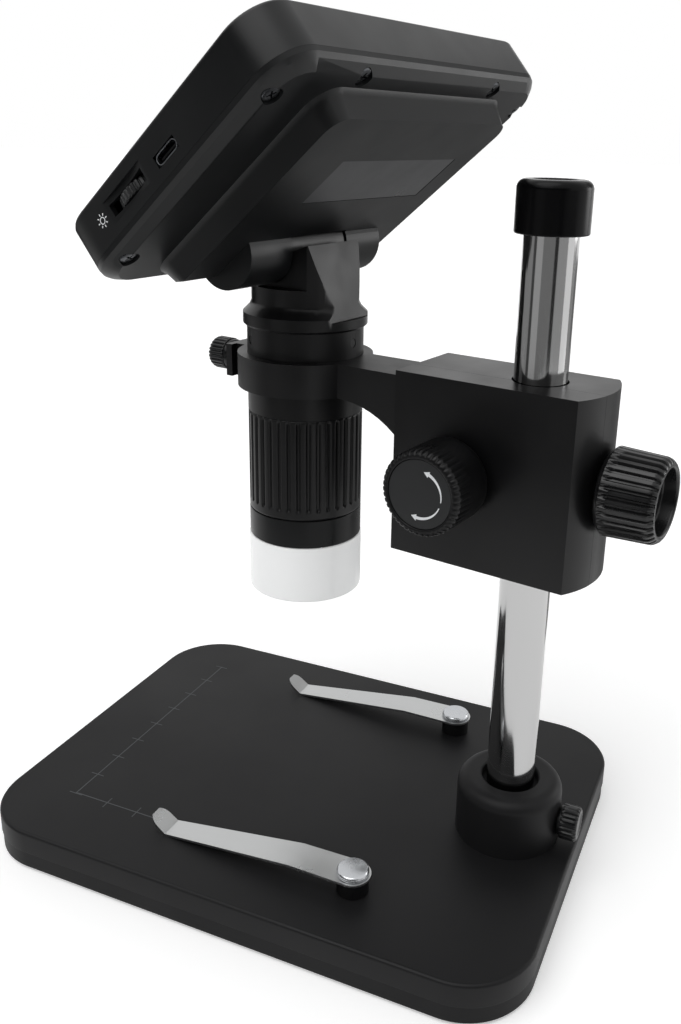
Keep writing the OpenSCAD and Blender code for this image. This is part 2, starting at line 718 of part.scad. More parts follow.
// ---- lock ----
lock_y = car_rear + 0.7;
module lock_knob() {
  color("#4a4d50") at_arm() translate([0, lock_y, car_mid]) along_y() difference() {
    union() {
      cylinder(r = lock_d / 2 - 1.2, h = 1.3);
      translate([0, 0, 1.2]) ribbed(lock_d / 2, lock_l - 2.6, 32, 0.7);
      translate([0, 0, lock_l - 1.5]) cylinder(r1 = lock_d / 2 - 0.2, r2 = lock_d / 2 - 1.3, h = 1.5);
    }
    translate([0, 0, -1]) cylinder(r = lock_screw_d / 2 + fit, h = lock_l);
    translate([0, 0, lock_l - 4.5]) cylinder(r1 = lock_d / 2 - 4.4, r2 = lock_d / 2 - 3.3, h = 5);
  }
}
module lock_screw() {
  y0 = pole_r + run + pad_l + 0.1;
  color("#a4a7aa") at_arm() translate([0, 0, car_mid]) along_y() difference() {
    translate([0, 0, y0]) cylinder(d = lock_screw_d, h = lock_y + lock_l - 3.7 - y0);
    translate([0, 0, lock_y + lock_l - 5]) cylinder(r = 2, h = 3, $fn = 6);
  }
}
module lock_nut() {
  color("#c9a75a") at_arm() difference() {
    translate([-nut_w / 2, nut_y, car_mid - nut_w / 2]) cube([nut_w, nut_t, nut_w]);
    translate([0, nut_y - 1, car_mid]) along_y() cylinder(d = lock_screw_d + 2 * fit, h = nut_t + 2);
  }
}
module pressure_pad() {
  color("#e8e6df") at_arm() translate([0, pole_r + run, car_mid]) along_y()
    cylinder(r = pad_r, h = pad_l);
}

// ---- scope ----
pin_z = carrier_z + 4;
module barrel() {
  color("#45484b") at_scope() difference() {
    turned([[bore_r, nose_z + 2], [tube_r, nose_z + 2], [tube_r, grip_top + gap],
      [barrel_r, grip_top + gap], [barrel_r, sh_z - fit], [tube_r + run, sh_z - fit],
      [tube_r + run, sh_z - 7], [bore_r, sh_z - 7], [bore_r, sensor_z], [bore_r - 1.4, sensor_z],
      [bore_r - 1.4, sensor_z - 2], [bore_r, sensor_z - 2]]);
    translate([bore_r - 1, -1.2, pin_z - lens_travel - 1.3])
      cube([tube_r - bore_r + 2, 2.4, 2 * lens_travel + 2.6]);
    for (a = [90, 210, 330]) rotate([0, 0, a]) translate([tube_r - 1, 0, sh_z - 4.2])
      along_x() cylinder(r = 1.4 + fit, h = 6);
    rotate([0, 0, -90]) translate([barrel_r - 0.4, 0, ring_scr_z]) along_x()
      cylinder(r = 3, h = 2);
  }
}

module focus_ring() {
  relief = tube_r + 1.1;
  color("#45484b") at_scope() difference() {
    translate([0, 0, grip_z]) cylinder(r = barrel_r, h = grip_h, $fn = 144);
    translate([0, 0, grip_z - 1]) cylinder(r = tube_r + run, h = grip_h + 2);
    translate([0, 0, pin_z - lens_travel - 1.5]) cylinder(r = relief, h = 2 * lens_travel + 3);
    for (i = [0:flutes - 1]) rotate([0, 0, i * 360 / flutes])
      translate([barrel_r - 0.55, -0.75, grip_z + 3.6]) cube([2, 1.5, grip_h]);
  }
}

module nose_ring() {
  lip = nose_z + 1.7;
  color("#1f2123") at_scope() turned([[spig_r - 1.4, nose_z - 4.6], [spig_r, nose_z - 4.6],
    [spig_r, nose_z], [barrel_r + 0.03, nose_z], [barrel_r + 0.03, nose_top],
    [tube_r + fit, nose_top], [tube_r + fit, lip], [bore_r - 0.3, lip], [bore_r - 0.3, nose_z],
    [spig_r - 1.4, nose_z]]);
}

module clear_cap() {
  r = hood_d / 2;
  color([0.85, 0.9, 0.92, 0.45]) at_scope() turned([[hood_in, hood_z], [r - 0.3, hood_z],
    [r, hood_z + 0.4], [r, hood_top - 0.3], [r - 0.3, hood_top], [hood_in, hood_top]]);
}

module led_board() {
  color("#e9ecec") at_scope() translate([0, 0, led_z]) difference() {
    cylinder(r = spig_r - 1.4 - fit, h = 1.25);
    translate([0, 0, -1]) cylinder(r = 7.6, h = 4);
  }
}
module leds() {
  color("#f4efc8") at_scope() for (i = [0:7]) rotate([0, 0, i * 45 + 22.5])
    translate([led_pitch_r, 0, led_z]) {
      translate([-1.7, -1.7, -0.6]) cube([3.4, 3.4, 0.6]);
      translate([0, 0, -1.4]) cylinder(r1 = 0.9, r2 = 1.4, h = 0.81);
    }
}

module lens_carrier() {
  color("#2a2c2e") at_scope() difference() {
    turned([[5.2, lens_z], [6.6, lens_z], [6.6, carrier_z], [bore_r - run, carrier_z],
      [bore_r - run, carrier_z + 8], [5.2, carrier_z + 8]]);
    translate([0, 0, pin_z]) along_x() cylinder(r = 1 + fit, h = tube_r);
  }
}
module front_lens() {
  color([0.7, 0.85, 0.95, 0.5]) at_scope() turned([[0, lens_z + 0.4], [2.6, lens_z + 0.6],
    [5.15, lens_z + 1.1], [5.15, lens_z + 2.6], [2.6, lens_z + 3.1], [0, lens_z + 3.3]]);
}
module focus_pin() {
  color("#c4c6c8") at_scope() translate([bore_r - 5, 0, pin_z]) along_x()
    cylinder(r = 1, h = tube_r - bore_r + 5.8);
}
module sensor_board() {
  color("#2f6b3f") at_scope() translate([0, 0, sensor_z]) {
    cylinder(r = bore_r - gap, h = 1.6);
    translate([-4.2, -4.2, -1.2]) cube([8.4, 8.4, 1.25]);
    translate([-5, 4, 1.5]) cube([10, 4, 3]);
  }
}

// ---- neck ----
// side view of the tongue, hinge axis at the origin
facet_top = [15.8, 2.1];
facet_foot = [hinge_fwd + neck_r - 0.7, -18.6];
module tongue_side() {
  circle(r = knuckle_r - 0.6);
  polygon([[-4.2, -4], [1.3, -3.4], facet_top, facet_foot, [facet_foot[0], -20], [-4.2, -20]]);
}
module neck() {
  fr = flange_d / 2;
  f0 = sh_z + flange_h;
  pr = tube_r;
  color("#54575a") at_arm() difference() {
    union() {
      translate([0, -arm_reach, 0]) turned([[0, sh_z - 6.9], [pr, sh_z - 6.9], [pr, sh_z],
        [fr - 0.8, sh_z], [fr, sh_z + 0.8], [fr, f0 - 0.4], [fr - 0.4, f0], [neck_r + 0.8, f0 + 1.6],
        [neck_r, f0 + 3.2], [neck_r, neck_top], [0, neck_top]]);
      intersection() {
        translate([-tongue_w / 2, hinge_y, hinge_z]) rotate([90, 0, 90])
          linear_extrude(tongue_w) tongue_side();
        translate([0, -arm_reach, sh_z]) union() {
          cylinder(r = neck_r, h = 60);
          translate([-tongue_w / 2, -hinge_fwd - knuckle_r, 0]) cube([tongue_w, knuckle_r, 60]);
        }
      }
      // index pip on the flange
      translate([-3, -arm_reach - fr - 1.2, sh_z + 1]) cube([6, 3, 3.4]);
    }
    // cable way
    translate([0, -arm_reach, sh_z - 8]) cylinder(r = 5, h = 16);
    translate([0, -arm_reach, sh_z - 8]) cylinder(r = 11, h = 6);
    translate([-tongue_w, hinge_y, hinge_z]) along_x() cylinder(d = pin_d + 2 * run, h = 2 * tongue_w);
    // sloping flat on the back of the neck
    translate([0, hinge_y, hinge_z]) rotate([90, 0, 90]) translate([0, 0, -40])
      linear_extrude(80) polygon([facet_top, [neck_r + 9, facet_top[1]], [neck_r + 9, -21],
        facet_foot + (facet_foot - facet_top) * 0.14]);
    for (a = [90, 210, 330]) translate([0, -arm_reach, sh_z - 4.2]) rotate([0, 0, a])
      translate([tube_r - 2, 0, 0]) along_x() cylinder(r = 1.4 + fit, h = 6);
  }
}
module neck_screws() {
  color("#8f9295") at_scope() for (a = [90, 210, 330]) rotate([0, 0, a])
    translate([tube_r - 1.9, 0, sh_z - 4.2]) along_x() cylinder(r = 1.4, h = barrel_r - tube_r + 1.7);
}

module on_hinge() {
  at_head() translate([0, hinge_b, -hinge_c]) children();
}
module hinge_pin() {
  color("#b9bcbf") on_hinge() translate([-(knuckle_w / 2 - 2), 0, 0]) along_x()
    cylinder(d = pin_d, h = knuckle_w - 4);
}
module hinge_washers() {
  t = (slot_w - tongue_w) / 2 - 0.2;
  color("#c9cbcd") on_hinge() for (s = [-1, 1])
    translate([s * (tongue_w / 2 + 0.1 + t / 2) - t / 2, 0, 0]) along_x() difference() {
      cylinder(r = knuckle_r - 2.2, h = t);
      translate([0, 0, -1]) cylinder(d = pin_d + 2 * run, h = t + 2);
    }
}
saddle_x0 = slot_w / 2 + 1.7;
saddle_x1 = knuckle_w / 2 - 2;
saddle_h = hinge_c - back_c + head_wall - 0.2;
module hinge_saddles() {
  color("#33363a") on_hinge() for (s = [0, 1]) mirror([s, 0, 0]) difference() {
    translate([saddle_x0 + gap, -6, fit]) cube([saddle_x1 - saddle_x0 - 2 * gap, 12, saddle_h]);
    translate([saddle_x0 - 1, 0, 0]) along_x() cylinder(d = pin_d + 2 * fit, h = knuckle_w);
    for (y = [-1, 1]) translate([(saddle_x0 + saddle_x1) / 2, 4.3 * y, -1])
      cylinder(r = 1.05, h = saddle_h + 3);
  }
}
module saddle_screws() {
  color("#b4b6b9") on_hinge() for (s = [-1, 1], y = [-1, 1])
    translate([s * (saddle_x0 + saddle_x1) / 2, 4.3 * y, 0]) {
      translate([0, 0, saddle_h + 0.1]) cylinder(r = 1.6, h = 0.9);
      translate([0, 0, -3]) cylinder(r = 1, h = saddle_h + 3.5);
    }
}

// ---- display head ----
module head_slab(inset, prof) {
  translate([0, head_h / 2, 0]) rim_slab(head_w - 2 * inset, head_h - 2 * inset, head_r - inset, prof);
}
module front_housing() {
  w = head_wall;
  color("#63666a") at_head() difference() {
    union() {
      difference() {
        head_slab(0, [[0, -front_t], [0, -1.2], [0.4, -0.4], [1.2, 0]]);
        head_slab(w, [[0, -front_t - e], [0, -w]]);
      }
      for (p = cover_scr) translate([p[0] * scr_a, p[1], -front_t + gap])
        cylinder(r = 3.2, h = front_t - w);
      for (p = cover_mid) translate([p[0], p[1], -front_t + gap])
        cylinder(r = 3.2, h = front_t - gap - lcd_back - 0.2);
    }
    // screen opening with a shelf for the window
    translate([-(lcd_w - 8) / 2, lcd_b - (lcd_h - 12) / 2, -w - 1]) cube([lcd_w - 8, lcd_h - 12, w + 2]);
    translate([-(lcd_w + 0.5) / 2 - fit, lcd_b - (lcd_h - 3.2) / 2 - fit, -1.25])
      cube([lcd_w + 0.5 + 2 * fit, lcd_h - 3.2 + 2 * fit, 2]);
    for (x = button_x) translate([x, button_b, -w - 1]) cylinder(d = button_d + 2 * run, h = w + 2);
    for (p = cover_pts) translate([p[0], p[1], -front_t - 1]) cylinder(r = 1.3, h = front_t - w);
    // power socket
    translate([head_w / 2 - w - 1, usb_b - 4.6, -usb_c - 1.75]) cube([w + 2, 9.2, 3.5]);
    // memory card slot
    translate([-head_w / 2 - 1, 42, -board_c + 0.1]) cube([w + 2, 12.4, 1.6]);
    // dimmer wheel's window and scoop
    translate([head_w / 2 - w - 1, dimmer_b - 8, -dimmer_c - dimmer_t / 2 - 0.3])
      cube([w + 2, 16, dimmer_t + 0.6]);
    translate([head_w / 2 + 37.4, dimmer_b, -dimmer_c - 3.4]) cylinder(r = 38.6, h = 6.8, $fn = 180);
    translate([dimmer_a, dimmer_b, -dimmer_c - dimmer_t / 2 - 0.3])
      cylinder(d = dimmer_d + 0.6, h = dimmer_t + 0.6);
  }
}

// side view of the platform: [distance up the screen, depth]
module platform_side(o) {
  polygon([[plat_low + o, -back_c + 2], [plat_low + o, -back_c],
    [plat_low + 2.8 + o * 0.5, -(plat_c - 3 - o)], [plat_low + 8 + o * 0.5, -(plat_c - o)],
    [head_h, -(plat_c - o)], [head_h, -back_c + 2]]);
}
module platform(o) {
  bl = plat_top + 2.7 - plat_low;
  intersection() {
    translate([-head_w / 2, 0, 0]) rotate([90, 0, 90]) linear_extrude(head_w) platform_side(o);
    translate([0, plat_low + bl / 2, 0]) rim_slab(plat_w + 5.4, bl, plat_r,
      [[2.7 + o, -(plat_c + 1)], [2.7 + o, -plat_c + 0.1], [1.1 + o, -back_c - 1.6],
        [o, -back_c], [o, 0]]);
  }
}
module rear_cover() {
  w = head_wall;
  c0 = front_t + fit;
  k = knuckle_w / 2;
  color("#5b5e62") at_head() difference() {
    union() {
      difference() {
        union() {
          head_slab(0, [[4, -back_c], [1.3, -(front_t + 2.6)], [0.3, -(front_t + 1.4)], [0, -c0]]);
          platform(0);
        }
        head_slab(4.4, [[0, -(back_c - w)], [0, -c0 + e]]);
        // battery room
        intersection() {
          translate([-head_w / 2, hinge_b + slot_r + 2, -(plat_c - w)])
            cube([head_w, plat_top - hinge_b - slot_r - 4.4, plat_c]);
          platform(w);
        }
      }
      translate([-k, hinge_b, -hinge_c]) along_x() cylinder(r = knuckle_r, h = 2 * k);
      // wall of the hinge trough
      intersection() {
        translate([-(slot_w / 2 + 1.2), hinge_b, -hinge_c]) along_x()
          cylinder(r = slot_r + 0.9, h = slot_w + 2.4);
        translate([-head_w / 2, 0, -back_c - 1]) cube([head_w, head_h, back_c]);
      }
      intersection() {
        head_slab(0, [[4, -back_c], [1.3, -(front_t + 2.6)], [0.3, -(front_t + 1.4)], [0, -c0]]);
        for (p = cover_pts) translate([p[0], p[1], -back_c]) cylinder(r = 4.6, h = back_c - c0);
      }
    }
    // slot for the neck's tongue
    translate([-slot_w / 2, hinge_b, -hinge_c]) along_x() cylinder(r = slot_r, h = slot_w);
    translate([-slot_w / 2, hinge_b - slot_r, -plat_c - 12])
      cube([slot_w, 2 * slot_r, 12 + plat_c - hinge_c]);
    translate([-slot_w / 2, -1, -plat_c - 12])
      cube([slot_w, hinge_b - slot_r + 7, 11 + plat_c - back_c]);
    translate([-(k - 1.9), hinge_b, -hinge_c]) along_x() cylinder(d = pin_d + 2 * fit, h = 2 * k - 3.8);
    for (m = [0, 1]) mirror([m, 0, 0]) {
      translate([saddle_x0, hinge_b - 6 - gap, -hinge_c])
        cube([saddle_x1 - saddle_x0, 12 + 2 * gap, knuckle_r + 1]);
      for (y = [-1, 1]) translate([(saddle_x0 + saddle_x1) / 2, hinge_b + 4.3 * y, -hinge_c - 3.3])
        cylinder(r = 1.05, h = 5);
    }
    for (p = cover_pts) translate([p[0], p[1], -back_c - 1]) {
      cylinder(r = 2.8, h = 4.2);
      cylinder(r = 1.6, h = back_c);
    }
    // shallow seat for the label
    translate([label_a - fit, label_b - fit, -plat_c - 1])
      cube([label_w + 2 * fit, label_l + 2 * fit, 1.35]);
  }
}

module cover_screws() {
  color("#b4b6b9") at_head() for (p = cover_pts) translate([p[0], p[1], -back_c + 1.5]) difference() {
    union() {
      cylinder(r = 2.6, h = 1.6);
      cylinder(r = 1.25, h = back_c - (abs(p[0]) < 50 ? lcd_back + 1.8 : head_wall + 3));
    }
    translate([-1.5, -0.3, -e]) cube([3, 0.6, 0.8]);
    translate([-0.3, -1.5, -e]) cube([0.6, 3, 0.8]);
  }
}

module screen_window() {
  color("#101214") at_head() translate([-(lcd_w + 0.5) / 2, lcd_b - (lcd_h - 3.2) / 2, -1.2])
    cube([lcd_w + 0.5, lcd_h - 3.2, 1]);
}
module lcd_panel() {
  color("#2b3a4a") at_head() translate([-lcd_w / 2, lcd_b - lcd_h / 2, -head_wall - 3.1])
    cube([lcd_w, lcd_h, 3]);
}
module main_board() {
  x = head_w / 2 - head_wall - 0.6;
  color("#2f6b3f") at_head() difference() {
    union() {
      translate([-x, 3.4, -board_c - board_t]) cube([2 * x, head_h - 6.8, board_t]);
      for (bx = button_x) translate([bx - 3, button_b - 3, -board_c - e]) cube([6, 6, 3.6]);
      translate([-20, 50, -board_c - e]) cube([14, 14, 1.4]);
      translate([8, 52, -board_c - e]) cube([9, 9, 1.2]);
      for (s = [-1, 1]) translate([s * 46 - 3, 60, -board_c - e]) cube([6, 4, 2.4]);
    }
    for (p = cover_pts) translate([p[0], p[1], -front_t]) cylinder(r = 3.6, h = front_t);
    for (sx = [-1, 1], y = [0, head_h]) translate([sx * head_w / 2, y, -front_t])
      cylinder(r = head_r - 2.2, h = front_t);
    translate([dimmer_a + 4, dimmer_b - 9, -front_t]) cube([30, 18, front_t]);
    translate([head_w / 2 - 7.8, usb_b - 4.6, -front_t]) cube([10, 9.2, front_t]);
    translate([dimmer_a - 6 - fit, dimmer_b - 6 - fit, -front_t])
      cube([12.5 + 2 * fit, 12 + 2 * fit, front_t]);
  }
}
module battery() {
  color("#8c9196") at_head()
    translate([0, hinge_b + slot_r + 4 + battery_l / 2, -(plat_c - head_wall - 0.2)])
      rim_slab(battery_w, battery_l, 3,
        [[0.6, 0], [0, 0.6], [0, battery_t - 0.6], [0.6, battery_t]]);
}
module usb_socket() {
  x1 = head_w / 2 - 0.3;
  color("#c7c9cb") at_head() translate([x1 - 7.4, usb_b, -usb_c]) difference() {
    translate([0, -4.47, -1.58]) cube([7.4, 8.94, 3.16]);
    translate([0.6, -4.1, -1.22]) cube([8, 8.2, 2.44]);
  }
}
module card_socket() {
  color("#c7c9cb") at_head()
    translate([-head_w / 2 + head_wall + gap, 41.4, -board_c + 0.02]) difference() {
      cube([14.5, 13.6, 1.9]);
      translate([-1, 1.1, 0.4]) cube([13.5, 11.4, 1]);
    }
}
module dimmer_wheel() {
  color("#2c2e30") at_head() translate([dimmer_a, dimmer_b, -dimmer_c - dimmer_t / 2]) difference() {
    ribbed(dimmer_d / 2, dimmer_t, 36, 0.5);
    translate([0, 0, -1]) cylinder(r = 2 + run, h = dimmer_t + 2);
  }
}
module dimmer_body() {
  z0 = -board_c - board_t;
  color("#6c6f72") at_head() translate([dimmer_a, dimmer_b, 0]) {
    translate([-6, -6, z0]) cube([12.5, 12, -dimmer_c - dimmer_t / 2 - gap - z0]);
    translate([0, 0, z0]) cylinder(r = 2, h = -dimmer_c + dimmer_t / 2 - z0 + 0.4);
  }
}
module rating_label() {
  color("#7d8083") at_head() translate([label_a, label_b, -plat_c + 0.1])
    cube([label_w, label_l, 0.25]);
}

module button_at(i) {
  w = head_wall;
  color("#2f3133") at_head() translate([button_x[i], button_b, 0]) {
    translate([0, 0, -w - 1]) turned([[0, 0], [button_d / 2, 0], [button_d / 2, w + 1.5],
      [button_d / 2 - 0.4, w + 1.9], [0, w + 1.9]]);
    translate([0, 0, -w - 1]) cylinder(r = button_d / 2 + 0.9, h = 0.9);
    translate([0, 0, -board_c + 3.6 + button_travel + 0.05])
      cylinder(r = 1.4, h = board_c - 3.6 - button_travel - w - 0.5);
  }
}
module button_power() {
  button_at(0);
}
module button_menu() {
  button_at(1);
}
module button_up() {
  button_at(2);
}
module button_down() {
  button_at(3);
}
module button_ok() {
  button_at(4);
}

base_cover();
base_plate();
rubber_feet();
base_screws();
clip_posts();
clip_near();
clip_far();
clip_screws();
pole_socket();
socket_screws();
socket_clamp();
pole();
rack();
pole_cap();
carriage_near();
carriage_far();
carriage_screws();
guide_bushes();
arm();
pinion_shaft();
focus_knob();
knob_disc();
lock_knob();
lock_screw();
lock_nut();
pressure_pad();
ring_screw();
barrel();
focus_ring();
nose_ring();
clear_cap();
led_board();
leds();
lens_carrier();
front_lens();
focus_pin();
sensor_board();
neck();
neck_screws();
hinge_pin();
hinge_washers();
hinge_saddles();
saddle_screws();
front_housing();
rear_cover();
cover_screws();
screen_window();
lcd_panel();
main_board();
battery();
usb_socket();
card_socket();
dimmer_wheel();
dimmer_body();
rating_label();
button_power();
button_menu();
button_up();
button_down();
button_ok();
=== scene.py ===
# %% [markdown]
# # A desktop digital microscope
# The instrument stands on a flat base with two sprung clips. A chromed pole carries a block
# that a rack and a pinion drive up and down. The block holds an arm, the arm's ring holds the
# scope, and a tilting display head sits on the scope.
# The shapes that matter for strength and motion are settled in a CAD model. Drawn again from
# nothing, each piece might drift from its place. So the model is loaded first, as a frame, and
# each visible piece is either built anew on its measures or made from a softened copy.

# %% Load the frame
import json
from math import cos, pi, radians, sin
import bpy
import bmesh
from mathutils import Matrix, Vector

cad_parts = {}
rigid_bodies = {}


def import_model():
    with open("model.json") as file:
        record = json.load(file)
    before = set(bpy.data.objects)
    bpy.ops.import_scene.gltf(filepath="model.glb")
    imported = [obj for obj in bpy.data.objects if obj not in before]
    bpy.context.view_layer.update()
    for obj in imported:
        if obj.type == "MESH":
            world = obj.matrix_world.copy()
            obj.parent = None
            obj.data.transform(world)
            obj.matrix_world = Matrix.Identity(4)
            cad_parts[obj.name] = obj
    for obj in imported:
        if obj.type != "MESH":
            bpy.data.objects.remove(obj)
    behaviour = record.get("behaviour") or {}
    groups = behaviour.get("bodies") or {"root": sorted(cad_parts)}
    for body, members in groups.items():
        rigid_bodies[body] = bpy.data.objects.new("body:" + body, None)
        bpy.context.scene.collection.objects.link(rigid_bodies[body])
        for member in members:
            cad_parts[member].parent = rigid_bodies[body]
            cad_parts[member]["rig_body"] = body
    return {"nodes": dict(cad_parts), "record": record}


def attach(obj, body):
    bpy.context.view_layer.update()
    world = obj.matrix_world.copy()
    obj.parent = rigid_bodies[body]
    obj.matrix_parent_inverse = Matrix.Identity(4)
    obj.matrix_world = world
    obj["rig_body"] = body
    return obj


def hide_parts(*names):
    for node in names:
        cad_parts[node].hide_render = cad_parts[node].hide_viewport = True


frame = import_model()
scene = bpy.context.scene
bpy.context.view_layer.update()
nodes = frame["nodes"]
slots = {s["node"]: s["material_slot"] for s in frame["record"]["subparts"]}
print("solids in the frame:", len(nodes))

# %% [markdown]
# ## Places to work in
# A maker draws a knob round its own axis, not in the middle of a room. Points turned one by one
# would be hard to read, so three workbenches are set up as matrices: the arm's, the scope's and
# the head's. A piece is drawn in millimetres on its bench and then moved to its place in metres.

# %% Workbenches
MM = Matrix.Scale(0.001, 4)
POLE_X, POLE_Y = -1.4, 71.2     # the pole's axis on the base
ARM_SWING = -9.8                # degrees that the arm is turned about the pole
REACH = 85                      # from the pole's axis to the scope's
HINGE_REACH, HINGE_Z = 89.6, 200.1
HEAD_LEAN = 40                  # degrees that the display leans back
BLOCK_Z = 140.4                 # middle of the block, and height of both large knobs
RING_Z = 160.5                  # middle of the arm's ring
CLAMP_Z = 22.7                  # height of the screw that clamps the pole


def shift(x, y, z):
    return Matrix.Translation((x, y, z))


def turn(degrees, axis):
    return Matrix.Rotation(radians(degrees), 4, axis)


WORLD = Matrix.Identity(4)
ARM = shift(POLE_X, POLE_Y, 0) @ turn(ARM_SWING, "Z")
SCOPE = ARM @ shift(0, -REACH, 0)
HINGE = ARM @ shift(0, -HINGE_REACH, HINGE_Z) @ turn(HEAD_LEAN, "X")
HEAD = HINGE @ shift(0, -19.4, 22.9)
ALONG_X = turn(90, "Y")
ALONG_Y = turn(-90, "X")
print("hinge axis at", [round(v, 2) for v in HINGE.translation])

# %% [markdown]
# ## One way to set up nodes
# Materials and Geometry Nodes trees are both made of nodes. Each kind could have a helper of
# its own, but then there would be dozens. Two small functions are enough: one sets or links a
# node's inputs, and one adds a node of any kind.

# %% Nodes and colours


def plug(node, sockets):
    """Sets inputs by name or number, to a value, to an output socket or to a node, which
    stands for its first output."""
    for key, value in sockets.items():
        if isinstance(value, bpy.types.Node):
            value = value.outputs[0]
        if isinstance(value, bpy.types.NodeSocket):
            node.id_data.links.new(value, node.inputs[key])
        else:
            node.inputs[key].default_value = value


def put(tree, kind, sockets=None, **settings):
    """Adds a node with its settings and inputs."""
    node = tree.nodes.new(kind)
    for key, value in settings.items():
        setattr(node, key, value)
    plug(node, sockets or {})
    return node


def linear(code):
    """An sRGB hex colour as the linear values that the renderer works in."""
    parts = [int(code[i:i + 2], 16) / 255 for i in (1, 3, 5)]
    return tuple(c / 12.92 if c <= 0.04045 else ((c + 0.055) / 1.055) ** 2.4
                 for c in parts) + (1.0,)


print("mid grey is", round(linear("#808080")[0], 3), "in linear light")

# %% [markdown]
# ## Finishes
# Nearly everything here is black, yet no two blacks are alike: moulded plastic carries the fine
# grain of its mould, paint has a soft orange peel, turned metal shows rings, and rubber is
# nearly matt. Pictures of each finish could be wrapped round the pieces, but they would
# stretch and repeat. So each finish is a small recipe over the piece's own millimetres: a tint
# that drifts a little, a roughness that drifts with it, and a grain that tilts the light.

# %% The recipe for a finish


def finish(name, colour, rough, grain=0.35, depth=0.012, drift=0.12, drift_mm=18.0,
           rough_drift=0.06, pull=(1, 1, 1), metal=0.0, shine=0.5, coat=0.0, through=0.0,
           ior=1.5, sheen=0.0, glow=0.0):
    """grain and drift_mm are sizes in mm, depth is the grain's height in mm, and pull stretches
    the grain along an axis. A real mould's grain or a tool's marks are about 0.1 mm wide, too
    fine to show, so moulded and machined finishes have grains of 0.3 to 0.6 mm."""
    mat = bpy.data.materials.new(name)
    mat.use_nodes = True
    tree = mat.node_tree
    shader = tree.nodes["Principled BSDF"]
    place = put(tree, "ShaderNodeTexCoord").outputs["Object"]
    wide = put(tree, "ShaderNodeTexNoise", {"Vector": place, "Scale": 1000 / drift_mm,
                                            "Detail": 3.0, "Roughness": 0.55})
    base = linear(colour)
    low = tuple(c * (1 - drift) for c in base[:3]) + (1,)
    high = tuple(min(1, c * (1 + drift)) for c in base[:3]) + (1,)
    tint = put(tree, "ShaderNodeMix", {0: wide, 6: low, 7: high}, data_type="RGBA")
    polish = put(tree, "ShaderNodeMapRange", {
        "Value": wide, "From Min": 0.3, "From Max": 0.7,
        "To Min": max(0.02, rough - rough_drift), "To Max": min(1, rough + rough_drift)})
    stretched = put(tree, "ShaderNodeMapping", {
        "Vector": place, "Scale": tuple(1000 / (grain * p) for p in pull)})
    fine = put(tree, "ShaderNodeTexNoise", {"Vector": stretched, "Scale": 1.0,
                                            "Detail": 2.0, "Roughness": 0.6})
    bump = put(tree, "ShaderNodeBump", {"Height": fine, "Strength": 0.6,
                                        "Distance": depth / 1000})
    plug(shader, {
        "Base Color": tint.outputs[2], "Roughness": polish, "Normal": bump, "Metallic": metal,
        "Specular IOR Level": shine, "Coat Weight": coat, "Coat Roughness": 0.08,
        "Transmission Weight": through, "IOR": ior, "Sheen Weight": sheen,
        "Emission Strength": glow})
    mat.diffuse_color = base
    return mat


PAINT = {}
print("materials before the first finish:", len(bpy.data.materials))

# %% [markdown]
# ## Finishes of the base and the pole
# Steel is coated, plated, blackened or left bright here. Its colour tells little, as what the
# eye goes by is the sheen: the coat is dull, black oxide is oily and chrome is nearly a mirror.
# One metal recipe with a tint for each would look alike, so roughness and grain differ too.

# %% Base, clips and pole
PAINT |= {
    # powder-coated pressed steel: fine orange peel, soft sheen, no clear reflections
    "base_paint": finish("powder_coated_steel", "#161617", 0.46, 0.9, 0.012, 0.1, 45, shine=0.17),
    # the same powder coat on the flat plate below, a little duller
    "plate_paint": finish("powder_coated_plate", "#131314", 0.52, 0.8, 0.012, 0.1, 40, shine=0.16),
    # moulded nitrile rubber: nearly matt, with a bloom of dust
    "foot_rubber": finish("nitrile_rubber", "#141415", 0.85, 0.5, 0.03, 0.15, 8, shine=0.25,
                          sheen=0.1),
    # zinc-plated steel: bright and slightly milky
    "screw_steel": finish("zinc_plated_steel", "#bfc1c4", 0.24, 0.3, 0.006, 0.08, 5, metal=1.0),
    # black zinc on steel, worn brighter by the driver: dark grey metal
    "screw_dark": finish("black_zinc_steel", "#5c5e61", 0.3, 0.3, 0.008, 0.15, 5, metal=1.0),
    # black-oxide steel: dark, oily sheen
    "screw_black": finish("black_oxide_steel", "#0e0f10", 0.34, 0.3, 0.01, 0.15, 5, shine=0.34),
    # polished stainless spring strip: rolled lengthwise, so its fine lines run along Y
    "clip_steel": finish("stainless_spring_strip", "#bcbdbd", 0.3, 0.35, 0.002, 0.04, 12,
                         pull=(1, 22, 1), metal=1.0, rough_drift=0.03),
    # turned acetal: deep black with a waxy sheen
    "clip_plastic": finish("black_acetal", "#0c0c0d", 0.4, 0.4, 0.01, 0.1, 6, shine=0.24),
    # hard chrome on ground tube: nearly a mirror, with faint lengthwise draw marks
    "pole_chrome": finish("hard_chrome", "#b8b8b8", 0.1, 0.5, 0.004, 0.03, 30, pull=(1, 1, 60),
                          metal=1.0, rough_drift=0.02),
    # gloss ABS: a piano-black surface with soft moulding waves
    "cap_gloss": finish("gloss_abs", "#070708", 0.22, 6.0, 0.02, 0.1, 20, shine=0.11,
                        rough_drift=0.04),
    # milled steel rack: fine cutter marks across
    "rack_steel": finish("milled_steel", "#8e9296", 0.38, 0.3, 0.01, 0.1, 6, pull=(6, 1, 1),
                         metal=1.0),
}
print("finishes so far:", len(PAINT))

# %% [markdown]
# ## Finishes of the block, the arm and the knobs
# Moulded plastic and a painted casting meet here, all black. They could share a finish, and the
# parts would then melt into one. Hands polish the grips, so these drift more in roughness.

